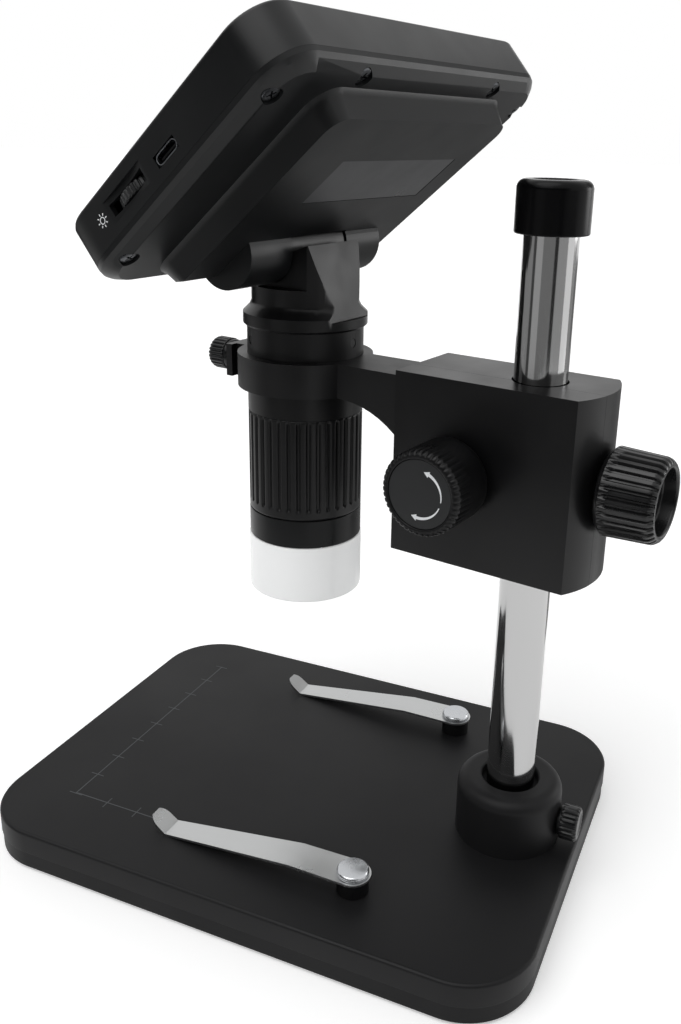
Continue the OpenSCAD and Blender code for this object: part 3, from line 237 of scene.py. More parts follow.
# %% Block, arm and knobs
PAINT |= {
    # spark-eroded ABS: a fine even grain, satin
    "block_plastic": finish("satin_abs", "#0d0d0e", 0.34, 0.45, 0.01, 0.08, 30, shine=0.28),
    # natural acetal guide: ivory and waxy
    "bush_plastic": finish("natural_acetal", "#d9d6cb", 0.45, 0.6, 0.01, 0.04, 9),
    # painted die-cast aluminium: satin black with the casting's soft waves under it
    "arm_metal": finish("painted_casting", "#101011", 0.4, 1.6, 0.02, 0.1, 25, shine=0.3),
    # ground steel: bright grey with fine lines along the shaft
    "shaft_steel": finish("ground_steel", "#a4a8ac", 0.26, 0.3, 0.005, 0.06, 6, pull=(8, 1, 1),
                          metal=1.0),
    # moulded ABS for the grips: a little glossier where fingers polish it
    "knob_plastic": finish("grip_abs", "#0c0c0d", 0.36, 0.5, 0.012, 0.12, 9, shine=0.22,
                           rough_drift=0.09),
    # the lock knob is gripped harder and is the glossier of the two
    "lock_plastic": finish("worn_grip_abs", "#0f0f10", 0.3, 0.5, 0.012, 0.12, 9, shine=0.42,
                           rough_drift=0.08),
    # matt printed film: a dark grey that hardly reflects
    "disc_plastic": finish("matt_film", "#1e1f20", 0.5, 0.4, 0.008, 0.08, 12, shine=0.34),
    # turned brass: warm yellow metal
    "nut_brass": finish("turned_brass", "#c9a558", 0.3, 0.4, 0.006, 0.08, 5, metal=1.0),
    # moulded nylon: milky and soft to look at
    "pad_plastic": finish("natural_nylon", "#e4e1d6", 0.5, 0.5, 0.01, 0.04, 5),
}
print("finishes so far:", len(PAINT))

# %% [markdown]
# ## Finishes of the scope
# The scope is turned aluminium, anodised black. Its tool marks run round it, so the grain is
# stretched along X and Y, which leaves rings. The milky cap lets a little light through and the
# lens nearly all of it. Full clearness in the cap would show too much of the lamps inside.

# %% Scope
PAINT |= {
    # black anodised aluminium: deep, dry black
    "barrel_metal": finish("black_anodised", "#0d0d0e", 0.38, 0.35, 0.008, 0.08, 22,
                           pull=(9, 9, 1), shine=0.26),
    # satin ring in front of it
    "nose_gloss": finish("satin_anodised", "#0c0d0e", 0.3, 0.4, 0.006, 0.08, 20, pull=(9, 9, 1),
                         shine=0.18),
    # moulded polycarbonate, slightly milky; its faint white glow is painted light that brightens
    # the cap
    "cap_clear": finish("milky_polycarbonate_painted_glow", "#fafbfb", 0.22, 5.0, 0.01, 0.02, 20,
                        rough_drift=0.04, through=0.12, ior=1.49, glow=0.1),
    # glass-fibre circuit board with green resist
    "board_green": finish("green_resist", "#1f5a35", 0.35, 1.2, 0.02, 0.12, 4),
    # the lamps' board: clean white with a slight gloss
    "board_white": finish("white_resist", "#eceeed", 0.4, 0.8, 0.01, 0.04, 5),
    # phosphor in clear gel: pale yellow and wet-looking
    "led_yellow": finish("phosphor_gel", "#efe08a", 0.3, 0.5, 0.01, 0.06, 2),
    # blackened lens tube, ribbed inside against stray light
    "lens_tube": finish("blackened_brass", "#16171a", 0.55, 0.3, 0.01, 0.1, 5, shine=0.3),
    # polished crown glass: nearly clear, with sharp reflections
    "lens_glass": finish("crown_glass", "#eaf2f6", 0.04, 8.0, 0.001, 0.02, 10, rough_drift=0.02,
                         through=0.95, ior=1.52),
}
print("finishes so far:", len(PAINT))

# %% [markdown]
# ## Finishes of the neck and the head
# The head is the largest moulding, so its grain matters most: spark erosion leaves it a little
# deeper and duller than the neck's. Window, label and sockets are set into it, and each shows
# by its gloss more than by its colour. The ink for printed marks comes last.

# %% Neck, head and ink
PAINT |= {
    # moulded ABS, finer than the head's: its edges catch the light
    "neck_plastic": finish("neck_abs", "#0e0e0f", 0.34, 0.5, 0.012, 0.08, 16, shine=0.28),
    # bright drawn steel: light metal with fine lines along the pin
    "pin_steel": finish("bright_drawn_steel", "#bdc0c3", 0.25, 0.3, 0.004, 0.05, 5, pull=(8, 1, 1),
                        metal=1.0),
    # the head's ABS: spark-eroded grain, a little lighter than the block
    "head_plastic": finish("textured_abs", "#101112", 0.38, 0.5, 0.016, 0.07, 35, shine=0.31),
    # smoked gloss window over the display
    "window_gloss": finish("smoked_acrylic", "#050506", 0.06, 12.0, 0.004, 0.05, 40,
                           rough_drift=0.02, shine=0.5, coat=0.4),
    # tinplate folded round the display: bright grey, a little cloudy
    "lcd_metal": finish("folded_tinplate", "#a9acae", 0.32, 0.5, 0.008, 0.06, 12, metal=1.0),
    # aluminium foil in a plastic laminate: silvery and slightly crinkled
    "battery_foil": finish("laminated_foil", "#9da1a5", 0.3, 2.5, 0.05, 0.08, 9, metal=0.8),
    # nickel plate on rolled steel: bright and even
    "socket_steel": finish("plated_socket_shell", "#a9acb0", 0.3, 0.3, 0.005, 0.06, 3, metal=1.0),
    # moulded nylon: black and rather dull
    "wheel_plastic": finish("wheel_nylon", "#151617", 0.45, 0.4, 0.01, 0.1, 5),
    # phenolic moulding: a dull brown black
    "pot_plastic": finish("phenolic_body", "#2e2722", 0.5, 0.4, 0.01, 0.1, 5),
    # satin polyester label film, left bare
    "label_film": finish("satin_label_film", "#2e2f31", 0.32, 0.6, 0.006, 0.05, 20, shine=0.62),
    # moulded ABS keys: dark grey satin, shinier than the housing
    "key_plastic": finish("key_abs", "#18191a", 0.38, 0.4, 0.01, 0.08, 5, shine=0.45),
}
# screen-printed marks: a thin flat film of ink
WHITE_INK = finish("white_ink", "#dcdee0", 0.5, 0.3, 0.006, 0.08, 3)
FAINT_INK = finish("worn_grey_ink", "#47494b", 0.55, 0.5, 0.006, 0.2, 6, shine=0.3)
print("finishes:", len(PAINT) + 2)

# %% [markdown]
# ## From outline to surface
# Real edges are never sharp: a mould, a press or a lathe tool leaves a small radius, and that
# radius catches the light as a thin bright line. A bevel modifier could add it everywhere, but
# on a turned piece it is simpler to draw the radius into the profile. The next helpers draw
# arcs and round-cornered outlines, spin a profile and stack outlines into a slab.

# %% Profile helpers


def polar(radius, degrees):
    a = radians(degrees)
    return (radius * cos(a), radius * sin(a))


def arc(cx, cz, r, a0, a1, steps=5):
    """Points on an arc, for the rounded shoulders of a profile."""
    turns = [polar(r, a0 + (a1 - a0) * k / steps) for k in range(steps + 1)]
    return [(cx + x, cz + z) for x, z in turns]


def spin(profile, count, mat=0, into=None):
    """Turns a closed profile of (radius, height) round the Z axis into a solid."""
    form = into or bmesh.new()
    rows = []
    for r, z in profile:
        ring = [polar(r, 360 * k / count) for k in range(count)] if r > 1e-5 else [(0, 0)]
        rows.append([form.verts.new((x, y, z)) for x, y in ring])
    for low, high in zip(rows, rows[1:] + rows[:1]):
        if len(low) + len(high) == 2:
            continue
        for k in range(count):
            n = (k + 1) % count
            four = (low[k % len(low)], low[n % len(low)], high[n % len(high)],
                    high[k % len(high)])
            form.faces.new(list(dict.fromkeys(four))).material_index = mat
    return form


def plate_outline(lx, ly, r, inset=0.0, steps=10, centre=(0, 0)):
    """A rectangle with round corners, as a ring of points, always with the same count."""
    r = max(r - inset, 0.05)
    hx, hy = lx / 2 - inset, ly / 2 - inset
    out = []
    for qx, qy, a0 in ((1, 1, 0), (-1, 1, 90), (-1, -1, 180), (1, -1, 270)):
        out += arc(centre[0] + qx * (hx - r), centre[1] + qy * (hy - r), r, a0, a0 + 90, steps)
    return out


def stack(rings, mat=0, into=None):
    """Joins rings of equal length, given as ([(x, y), ...], z), into one closed form."""
    form = into or bmesh.new()
    rows = [[form.verts.new((x, y, z)) for x, y in ring] for ring, z in rings]
    for low, high in zip(rows, rows[1:]):
        for k in range(len(low)):
            n = (k + 1) % len(low)
            form.faces.new((low[k], low[n], high[n], high[k])).material_index = mat
    for end in (list(reversed(rows[0])), rows[-1]):
        form.faces.new(end).material_index = mat
    return form


print("arc test:", len(arc(0, 0, 1, 0, 90)), "points")

# %% [markdown]
# ## Finishing a piece
# A finished piece needs outward faces, edges that shade sharp or smooth as they should, a
# finish, a body to move with and the solid that it stands for. Doing that by hand for each
# piece invites slips, so one function does it. Its Bevel and Weighted Normal modifiers round
# what the drawing left sharp and keep large flats flat; their result is baked into the mesh.

# %% Finish and place a piece
SHARPEST_ROUND = 38     # degrees between two faces above which their edge is bevelled
FLAT_WEIGHT = 60        # how strongly large flats keep their own shading
made = {}


def in_scene(name, data):
    """Links a new object to the scene. A bmesh is turned into its mesh first."""
    if isinstance(data, bmesh.types.BMesh):
        form, data = data, bpy.data.meshes.new(name)
        form.to_mesh(data)
        form.free()
    obj = bpy.data.objects.new(name, data)
    scene.collection.objects.link(obj)
    return obj


def flatten(obj, name):
    """Bakes an object's modifiers into a plain mesh and takes them off."""
    graph = bpy.context.evaluated_depsgraph_get()
    graph.update()
    mesh = bpy.data.meshes.new_from_object(obj.evaluated_get(graph), depsgraph=graph)
    obj.modifiers.clear()
    obj.data = mesh
    mesh.name = name
    return obj


def piece(name, form, looks, place=WORLD, solids=(), body=None, edge=0.0, crisp=30,
          steps=2, trees=(), metres=False):
    """form is a bmesh in mm on its bench, or in place and in metres; looks are slot names or
    materials; trees are (tree, settings) pairs, run before the piece is placed; edge is the
    bevel's width in mm, and edges over crisp degrees shade sharp."""
    if not metres:
        bmesh.ops.remove_doubles(form, verts=form.verts, dist=1e-4)
    bmesh.ops.recalc_face_normals(form, faces=form.faces)
    obj = in_scene(name, form)
    for look in looks:
        obj.data.materials.append(PAINT[look] if isinstance(look, str) else look)
    for tree, settings in trees:
        run_tree(obj, tree, settings)
        flatten(obj, name)
    if not metres:
        obj.data.transform(MM @ place)
    if edge > 0:
        bevel = obj.modifiers.new("edge", "BEVEL")
        bevel.width = edge / 1000
        bevel.segments = steps
        bevel.limit_method = "ANGLE"
        bevel.angle_limit = radians(SHARPEST_ROUND)
        bevel.miter_outer = "MITER_ARC"
        bevel.use_clamp_overlap = True
        flatten(obj, name)
    obj.data.shade_smooth()
    obj.data.set_sharp_from_angle(angle=radians(crisp))
    level = obj.modifiers.new("level", "WEIGHTED_NORMAL")
    level.keep_sharp = True
    level.weight = FLAT_WEIGHT
    flatten(obj, name)
    solids = [solids] if isinstance(solids, str) else list(solids)
    body = body or nodes[solids[0]]["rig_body"]
    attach(obj, body)
    if solids:
        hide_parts(*solids)
    made[name] = obj
    spans = [max(c) - min(c) for c in zip(*(v.co for v in obj.data.vertices))]
    print(name + ":", " x ".join("%.1f" % (v * 1000) for v in spans), "mm")


def softened(node, edge=0.35, steps=2, crisp=30):
    """A merged copy of a CAD solid with its flats joined and its edges rounded."""
    form = bmesh.new()
    form.from_mesh(nodes[node].data)
    bmesh.ops.remove_doubles(form, verts=form.verts, dist=2e-6)
    bmesh.ops.dissolve_limit(form, angle_limit=radians(0.8), verts=form.verts,
                             use_dissolve_boundaries=False, edges=form.edges,
                             delimit={"NORMAL"})
    piece(node + "_soft", form, [slots[node]], solids=node, edge=edge, crisp=crisp,
          steps=steps, metres=True)


def turned(name, profile, sides, look, place, solid, crisp, trees=()):
    """A piece that is spun from its profile."""
    piece(name, spin(profile, sides), [look], place, solid, crisp=crisp, trees=trees)


print("bevels start at", SHARPEST_ROUND, "degrees")

# %% [markdown]
# ## Grips cut by a rule
# The focus ring, both large knobs, the thumb screws and the dimmer wheel are turned blanks with
# grooves cut round them. Each groove could be cut with a boolean, slowly, dozens of times. But
# a groove follows a rule, so a Geometry Nodes tree does it at once: it reads each point's angle
# and height, finds how far the point is from the nearest groove's middle line, and pulls it
# inwards where it lies inside the groove. Near the groove's ends the distance also grows along
# the axis, which rounds the ends as a ball-nosed cutter does.

# %% The groove-cutting tree
FLOAT, INT, GEO = "NodeSocketFloat", "NodeSocketInt", "NodeSocketGeometry"
OBJECT, VECTOR = "NodeSocketObject", "NodeSocketVector"


def new_tree(name, **inputs):
    """A tree that takes a geometry, the inputs given (with _ for a space) and a finish. It also
    gives back the sockets of its two ends."""
    tree = bpy.data.node_groups.new(name, "GeometryNodeTree")
    tree.is_modifier = True
    for label, kind in {"Geometry": GEO, **inputs, "Finish": "NodeSocketMaterial"}.items():
        tree.interface.new_socket(label.replace("_", " "), in_out="INPUT", socket_type=kind)
    tree.interface.new_socket("Geometry", in_out="OUTPUT", socket_type=GEO)
    return tree, put(tree, "NodeGroupInput").outputs, put(tree, "NodeGroupOutput").inputs


def run_tree(obj, tree, settings):
    """Adds the tree as a modifier and sets its inputs by identifier before any evaluation."""
    mod = obj.modifiers.new(tree.name, "NODES")
    mod.node_group = tree
    keys = {s.name: s.identifier for s in tree.interface.items_tree if s.in_out == "INPUT"}
    for label, value in settings.items():
        mod[keys[label]] = value


def deliver(tree, geometry, ins, outs, **only):
    """Ends a tree: makes its instances real and gives the faces their finish."""
    real = put(tree, "GeometryNodeRealizeInstances", {"Geometry": geometry})
    plug(outs[0].node, {0: put(tree, "GeometryNodeSetMaterial", {
        "Geometry": real, "Material": ins["Finish"], **only})})


GROOVE_REACH = 1.6      # mm under the blank's radius that the cutter still touches
grooves, g_in, g_out = new_tree(
    "cut_grooves", Count=INT, Depth=FLOAT, Half_width=FLOAT, Soft_edge=FLOAT, Low_end=FLOAT,
    High_end=FLOAT, From_radius=FLOAT)
at = put(grooves, "ShaderNodeSeparateXYZ", {0: put(grooves, "GeometryNodeInputPosition")}).outputs
share = put(grooves, "ShaderNodeMapRange", {
    "From Max": g_in["Half width"], "To Min": 1.0, "To Max": 0.0},
    interpolation_type="SMOOTHSTEP")
# the rule, a step to a line: its name, what is done, and with which inputs or earlier steps
rule = (
    ("x squared", "MULTIPLY", "X", "X"),
    ("y squared", "MULTIPLY", "Y", "Y"),
    ("radius squared", "ADD", "x squared", "y squared"),
    ("radius", "SQRT", "radius squared"),
    ("angle", "ARCTAN2", "Y", "X"),
    ("angle above zero", "ADD", "angle", pi * 4),
    ("pitch", "DIVIDE", 2 * pi, "Count"),
    ("half pitch", "MULTIPLY", "pitch", 0.5),
    ("off turn", "PINGPONG", "angle above zero", "half pitch"),
    ("across", "MULTIPLY", "off turn", "From radius"),
    ("lowest middle", "ADD", "Low end", "Half width"),
    ("highest middle", "SUBTRACT", "High end", "Half width"),
    ("below it", "SUBTRACT", "lowest middle", "Z"),
    ("above it", "SUBTRACT", "Z", "highest middle"),
    ("past an end", "MAXIMUM", "below it", "above it"),
    ("along", "MAXIMUM", "past an end", 0.0),
    ("across squared", "MULTIPLY", "across", "across"),
    ("along squared", "MULTIPLY", "along", "along"),
    ("both squared", "ADD", "across squared", "along squared"),
    ("distance", "SQRT", "both squared"),
    ("flat half", "SUBTRACT", "Half width", "Soft edge"),
    ("cutter reach", "SUBTRACT", "From radius", GROOVE_REACH),
    ("outside", "GREATER_THAN", "radius", "cutter reach"),
    ("full cut", "MULTIPLY", "share", "Depth"),
    ("cut", "MULTIPLY", "full cut", "outside"),
    ("radius left", "SUBTRACT", "radius", "cut"),
    ("radius over zero", "MAXIMUM", "radius", 0.001),
    ("scale", "DIVIDE", "radius left", "radius over zero"),
    ("new x", "MULTIPLY", "X", "scale"),
    ("new y", "MULTIPLY", "Y", "scale"))
known = {socket.name: socket for socket in (*g_in, *at)}
known["share"] = share
for name, operation, *terms in rule:
    known[name] = put(grooves, "ShaderNodeMath",
                      {k: known.get(term, term) for k, term in enumerate(terms)},
                      operation=operation)
plug(share, {"Value": known["distance"], "From Min": known["flat half"]})
moved = put(grooves, "ShaderNodeCombineXYZ", {
    "X": known["new x"], "Y": known["new y"], "Z": at["Z"]})
cut = put(grooves, "GeometryNodeSetPosition", {"Geometry": g_in["Geometry"], "Position": moved})
deliver(grooves, cut, g_in, g_out)


def fluted(look, count, depth, half_width, soft_edge, low_end, high_end, from_radius):
    """The groove tree with its settings, as piece() takes it."""
    return [(grooves, {"Count": count, "Depth": depth, "Half width": half_width,
                       "Soft edge": soft_edge, "Low end": low_end, "High end": high_end,
                       "From radius": from_radius, "Finish": PAINT[look]})]


print("groove tree:", len(grooves.nodes), "nodes")

# %% [markdown]
# ## The base
# The base is a pressed cover over a flat plate, with a dark seam between them, on four rubber
# feet. It could be redrawn as stacked outlines, but the cover's solid already has its bosses
# and its hollow, so a softened copy keeps them and only gains the pressed edge's small radius.

# %% Base, plate and feet
softened("base_cover", 0.45, 3)
for node, edge in (("base_plate", 0.3), ("rubber_feet", 0.3), ("clip_posts", 0.25),
                   ("pole_socket", 0.3)):
    softened(node, edge)

# %% [markdown]
# ## Stage clips
# Each clip is a strip of spring steel, wide at its screw and narrower at its lifted tip, bent
# twice. The softened solid gives the bends; the rolled edge is kept tight so the strip still
# reads as sheet metal. A domed screw holds it, turned from a profile.

# %% Clips and their screws
CLIP_X, CLIP_Y = 47.5, 36.5     # the clips' screws on the base
softened("clip_near", 0.18)
softened("clip_far", 0.18)
screws = bmesh.new()
dome = [(0, 21.0), (4.9, 21.0), (5.1, 21.2), (5.1, 21.7)] + arc(3.9, 21.6, 1.2, 5, 60, 4) + \
    [(2.5, 22.35), (0, 22.4)]
shank = [(0, 15.0), (1.45, 15.0), (1.45, 20.99), (0, 20.99)]
for side in (-1, 1):
    before = len(screws.verts)
    spin(dome, 64, into=screws)
    spin(shank, 24, into=screws)
    bmesh.ops.translate(screws, verts=screws.verts[:][before:], vec=(side * CLIP_X, CLIP_Y, 0))
piece("clip_screw_heads", screws, ["screw_steel"], solids="clip_screws", crisp=40)

# %% [markdown]
# ## The pole and its rack
# The pole is a thick-walled chromed tube with a slot milled down its front for the rack.
# Chrome shows every facet, so a softened copy would not do: the tube is spun with many sides,
# and a boolean mills the slot exactly where the frame has it.

# %% Tube with a milled slot


def minus(form, cutter):
    """Cuts one form out of another with an exact boolean and gives back the result."""
    pair = []
    for label, part in (("blank", form), ("cutter", cutter)):
        bmesh.ops.recalc_face_normals(part, faces=part.faces)
        pair.append(in_scene(label, part))
    cut = pair[0].modifiers.new("cut", "BOOLEAN")
    cut.operation = "DIFFERENCE"
    cut.solver = "EXACT"
    cut.object = pair[1]
    flatten(pair[0], "cut")
    out = bmesh.new()
    out.from_mesh(pair[0].data)
    for obj in pair:
        bpy.data.objects.remove(obj)
    return out


def box_form(x0, y0, z0, x1, y1, z1):
    return stack([([(x0, y0), (x1, y0), (x1, y1), (x0, y1)], z) for z in (z0, z1)])


POLE_R, POLE_BORE = 7.85, 3.0
POLE_FOOT, POLE_TOP, TOP_EDGE = 7.5, 222.6, 0.6
RACK_LOW, RACK_HIGH, RACK_BACK = 73.4, 187.4, -4.4
RACK_HALF, RACK_PLAY = 2.0, 0.05
tube = spin([(POLE_BORE, POLE_FOOT), (POLE_R, POLE_FOOT)] +
            arc(POLE_R - TOP_EDGE, POLE_TOP - TOP_EDGE, TOP_EDGE, 0, 90, 4) +
            [(POLE_BORE, POLE_TOP)], 144)
slot_half = RACK_HALF + RACK_PLAY
tube = minus(tube, box_form(-slot_half, -9, RACK_LOW - RACK_PLAY,
                            slot_half, RACK_BACK, RACK_HIGH + RACK_PLAY))
piece("chrome_tube", tube, ["pole_chrome"], ARM, "pole", crisp=25)

# %% [markdown]
# ## Rack teeth in a row
# A rack is one tooth repeated at an even step. An array modifier would do for a rack alone, but
# a Geometry Nodes tree can serve other rows too: it lays a line of points, puts one part on each
# and makes them real.

# %% The row tree, used for the rack and the stage scale
row, r_in, r_out = new_tree("row_of_parts", Part=OBJECT, Count=INT, Step=VECTOR, Start=VECTOR)
line = put(row, "GeometryNodeMeshLine", {"Count": r_in["Count"], "Start Location": r_in["Start"],
                                         "Offset": r_in["Step"]}, mode="OFFSET")
source = put(row, "GeometryNodeObjectInfo", {"Object": r_in["Part"]})
spread = put(row, "GeometryNodeInstanceOnPoints", {
    "Points": line, "Instance": source.outputs["Geometry"]})
both = put(row, "GeometryNodeJoinGeometry")
for part in (r_in["Geometry"], spread):
    plug(both, {0: part})
deliver(row, both, r_in, r_out)


def in_a_row(part, count, step, start, look):
    """The row tree with its settings, as piece() takes it."""
    return [(row, {"Part": part, "Count": count, "Step": step, "Start": start,
                   "Finish": look})]


def template(name, form):
    """A part that a tree repeats. It is taken away again when the tree has run."""
    bmesh.ops.recalc_face_normals(form, faces=form.faces)
    return in_scene(name, form)


MODULE = 0.8                    # the rack's pitch is the module times pi
TIP_Y, ROOT_Y = -7.55, -5.94    # where a tooth ends and where it leaves the bar
tooth_step = MODULE * pi
pitch_half = 0.21 * tooth_step  # half a tooth's width on the pitch line
tip_half, root_half = pitch_half - 0.2475, pitch_half + 0.335
flank = [(ROOT_Y, -root_half), (TIP_Y, -tip_half), (TIP_Y, tip_half), (ROOT_Y, root_half)]
tooth = stack([(flank, x) for x in (-RACK_HALF, RACK_HALF)])
for v in tooth.verts:
    v.co = v.co.zxy     # the stack's height becomes the tooth's width
tooth = template("rack_tooth", tooth)
teeth = int((RACK_HIGH - RACK_LOW - tooth_step) / tooth_step)
first = BLOCK_Z - (BLOCK_Z - RACK_LOW) // tooth_step * tooth_step + 0.5 * tooth_step
bar = box_form(-RACK_HALF, ROOT_Y - 0.01, RACK_LOW, RACK_HALF, RACK_BACK, RACK_HIGH)
piece("toothed_rack", bar, ["rack_steel"], ARM, "rack", crisp=25,
      trees=in_a_row(tooth, teeth, (0.0, 0.0, tooth_step), (0.0, 0.0, first),
                     PAINT["rack_steel"]))
bpy.data.objects.remove(tooth)
print("rack teeth:", teeth)

# %% [markdown]
# ## The pole's cap
# A gloss cap closes the tube. It is a turned form: a deep skirt, a generous shoulder radius
# that carries one bright highlight, and a shallow dish on top.

# %% Cap
cap = [(7.9, 210.5), (10.0, 210.5)] + arc(10.05, 211.0, 0.5, -90, 0, 3) + \
    arc(8.0, 222.55, 2.55, 0, 80, 8) + [(6.6, 225.1), (6.1, 224.9), (5.8, 224.35), (0, 224.3),
                                        (0, 222.65), (7.9, 222.65)]
turned("gloss_cap", cap, 96, "cap_gloss", ARM, "pole_cap", 50)

# %% [markdown]
# ## The block and the arm
# The block is two moulded shells that meet in a fine seam, and the arm is a painted casting
# with a gusset below and a ring at its end. Their solids have the seams, holes and lug already;
# softening rounds the long edges, which is where such dark parts show their shape.

# %% Block and arm
for node, edge in (("carriage_near", 0.5), ("carriage_far", 0.5), ("arm", 0.4)):
    softened(node, edge, 3)

# %% [markdown]
# ## The focus knob
# The focus knob is a turned grip with fine straight grooves that run out at its front rim. It
# is spun as a plain blank with enough sides for each groove, and the groove tree cuts it. The
# disc in its face carries two curved arrows, one for each way to turn. Words are left off.

# %% Knob, disc and arrows


def wall(radius, z0, z1, count):
    """A straight stretch of profile, with enough points for the groove tree to move."""
    return [(radius, z0 + (z1 - z0) * k / count) for k in range(count + 1)]


KNOB_R, KNOB_FACE = 12.7, 20.0      # the grip's radius and the disc's face, from the block
KNOB = ARM @ shift(16.0, -18.071, BLOCK_Z) @ ALONG_X
grip = [(4.05, 0), (7.7, 0), (8, 0.3), (8, 2.6), (8.4, 3.0), (12.2, 3.0), (12.55, 3.2)] + \
    wall(KNOB_R, 3.5, 18.6, 8) + \
    [(12.62, 19.0), (12.35, 19.5), (11.9, 20.0), (11.5, 20.25), (11.1, 20.3), (10.55, 20.3),
     (10.35, 20.15), (10.33, 19.3), (4.05, 19.3)]
turned("focus_grip_knob", grip, 352, "knob_plastic", KNOB, "focus_knob", 55,
       fluted("knob_plastic", 44, 0.34, 0.5, 0.35, 14.4, 24.0, KNOB_R))


def stroke(points, widths, z, into):
    """A flat strip of ink along a path, with a width for each point."""
    rows = []
    for k, p in enumerate(points):
        a, b = points[max(k - 1, 0)], points[min(k + 1, len(points) - 1)]
        d = Vector((b[0] - a[0], b[1] - a[1])).normalized()
        w = widths[k] / 2
        rows.append([into.verts.new((p[0] - d.y * w * s, p[1] + d.x * w * s, z))
                     for s in (1, -1)])
    for a, b in zip(rows, rows[1:]):
        into.faces.new((a[0], a[1], b[1], b[0]))


def thicken(form, depth):
    """Gives flat ink its thickness, downwards."""
    grown = bmesh.ops.extrude_face_region(form, geom=form.faces[:])["geom"]
    bmesh.ops.translate(form, vec=(0, 0, -depth),
                        verts=[v for v in grown if isinstance(v, bmesh.types.BMVert)])


def seen(radius, degrees):
    """A point on the knob's face, by the angle from its right-hand side as the user sees it."""
    x, y = polar(radius, degrees)
    return (-y, x)


disc = [(0, 19.3), (10.2, 19.3), (10.2, 19.85), (10.0, KNOB_FACE), (0, KNOB_FACE)]
ARROW_R, ARROW_STEPS = 7.0, 16
ink_z = KNOB_FACE + 0.03
ink = bmesh.new()
for start, stop in ((-8, 66), (-22, -96)):
    way = 1 if stop > start else -1
    path = [seen(ARROW_R, start + (stop - start) * k / ARROW_STEPS)
            for k in range(ARROW_STEPS + 1)]
    stroke(path, [0.28 + 0.04 * k for k in range(ARROW_STEPS + 1)], ink_z, ink)
    tip = [ink.verts.new((*seen(ARROW_R + out, stop + way * ahead), ink_z))
           for out, ahead in ((1, 0), (0, 14), (-1, 0))]
    ink.faces.new(tip if way > 0 else list(reversed(tip)))
thicken(ink, 0.04)
turned("knob_face_disc", disc, 96, "disc_plastic", KNOB, "knob_disc", 40)
piece("knob_arrows", ink, [WHITE_INK], KNOB, (), "focus_drive", crisp=40)

# %% [markdown]
# ## The lock knob
# The lock knob is coarser: broad rounded flutes on a grip that narrows outwards, with a dished
# end. The same tree cuts it with other numbers.

# %% Lock knob and screw end
LOCK = ARM @ shift(0, 23.3, BLOCK_Z) @ ALONG_Y
lock = [(3.95, 0), (11.6, 0), (12.0, 0.4), (12.1, 1.2), (12.9, 1.3), (13.2, 1.6)] + \
    [(13.2 - 0.55 * k / 10, 1.9 + 13.3 * k / 10) for k in range(11)] + \
    [(12.45, 15.8), (12.1, 16.4), (11.6, 17.0), (11.1, 17.3), (10.6, 17.4), (10.2, 17.4),
     (9.9, 17.2), (9.75, 16.6), (9.4, 13.4), (9.1, 13.0), (8.6, 12.9), (3.95, 12.9)]
turned("lock_grip_knob", lock, 320, "lock_plastic", LOCK, "lock_knob", 55,
       fluted("lock_plastic", 32, 0.95, 0.8, 0.6, 1.9, 24.0, 12.9))
softened("lock_screw", 0.3)

# %% [markdown]
# ## Thumb screws
# Two small black screws have knurled heads: one clamps the scope in its ring, the other clamps
# the pole in its socket. Each is one turned profile from its shank to its head.

# %% Ring screw and socket screw
RING_SCREW = ARM @ shift(0, 0, RING_Z) @ turn(90, "X")
profile = [(0, 104.32), (2.3, 104.32), (2.5, 104.6), (2.5, 113.2), (3.4, 113.2), (3.6, 113.4),
           (3.6, 115.3), (5.0, 115.3), (5.2, 115.6), (5.2, 117.0), (5.45, 117.2)] + \
    wall(5.6, 117.4, 122.6, 8) + \
    [(5.45, 123.0), (5.2, 123.5), (4.6, 123.9), (4.2, 124.05), (0, 124.05)]
turned("ring_thumb_screw", profile, 192, "screw_black", RING_SCREW, "ring_screw", 50,
       fluted("screw_black", 24, 0.4, 0.42, 0.38, 117.2, 140.0, 5.6))
CLAMP = shift(POLE_X, POLE_Y, CLAMP_Z) @ ALONG_Y
profile = [(0, 7.95), (2.45, 7.95), (2.45, 17.6), (4.6, 17.6), (4.75, 17.8), (4.75, 18.5),
           (5.45, 18.5)] + wall(5.65, 18.8, 23.1, 6) + \
    [(5.5, 23.5), (5.2, 23.9), (4.85, 24.1), (3.9, 24.1), (3.6, 23.9), (0, 23.9)]
turned("socket_thumb_screw", profile, 176, "screw_black", CLAMP, "socket_clamp", 50,
       fluted("screw_black", 22, 0.42, 0.42, 0.38, 18.6, 40.0, 5.65))

# %% [markdown]
# ## The scope
# The scope is turned metal: a plain barrel, a focus ring with thirty-six flutes, a nose ring and
# a clear cap. The flutes end in rounded pockets near the bottom, as a ball-nosed cutter leaves
# them, which is the groove tree's own rule.

# %% Barrel, focus ring, nose ring and clear cap
SLEEVE_R, FLUTES = 19.22, 36
softened("barrel", 0.25)
sleeve = [(17.1, 112.4), (18.9, 112.4), (SLEEVE_R, 112.7)] + \
    wall(SLEEVE_R, 113.2, 119.0, 14) + wall(SLEEVE_R, 121, 141, 6) + \
    wall(SLEEVE_R, 142.5, 146.2, 10) + [(19.0, 146.7), (18.8, 146.8), (17.1, 146.8)]
turned("fluted_focus_ring", sleeve, 360, "barrel_metal", SCOPE, "focus_ring", 50,
       fluted("barrel_metal", FLUTES, 0.75, 0.82, 0.5, 115.3, 146.5, SLEEVE_R))
nose = [(16.63, 97.9), (18.03, 97.9), (18.03, 102.5), (18.9, 102.5), (19.1, 102.65),
        (19.25, 102.9), (19.25, 111.95), (19.1, 112.2), (18.8, 112.3), (17.07, 112.3),
        (17.07, 104.2), (14.92, 104.2), (14.92, 102.5), (16.63, 102.5)]
turned("nose_band", nose, 144, "nose_gloss", SCOPE, "nose_ring", 40)
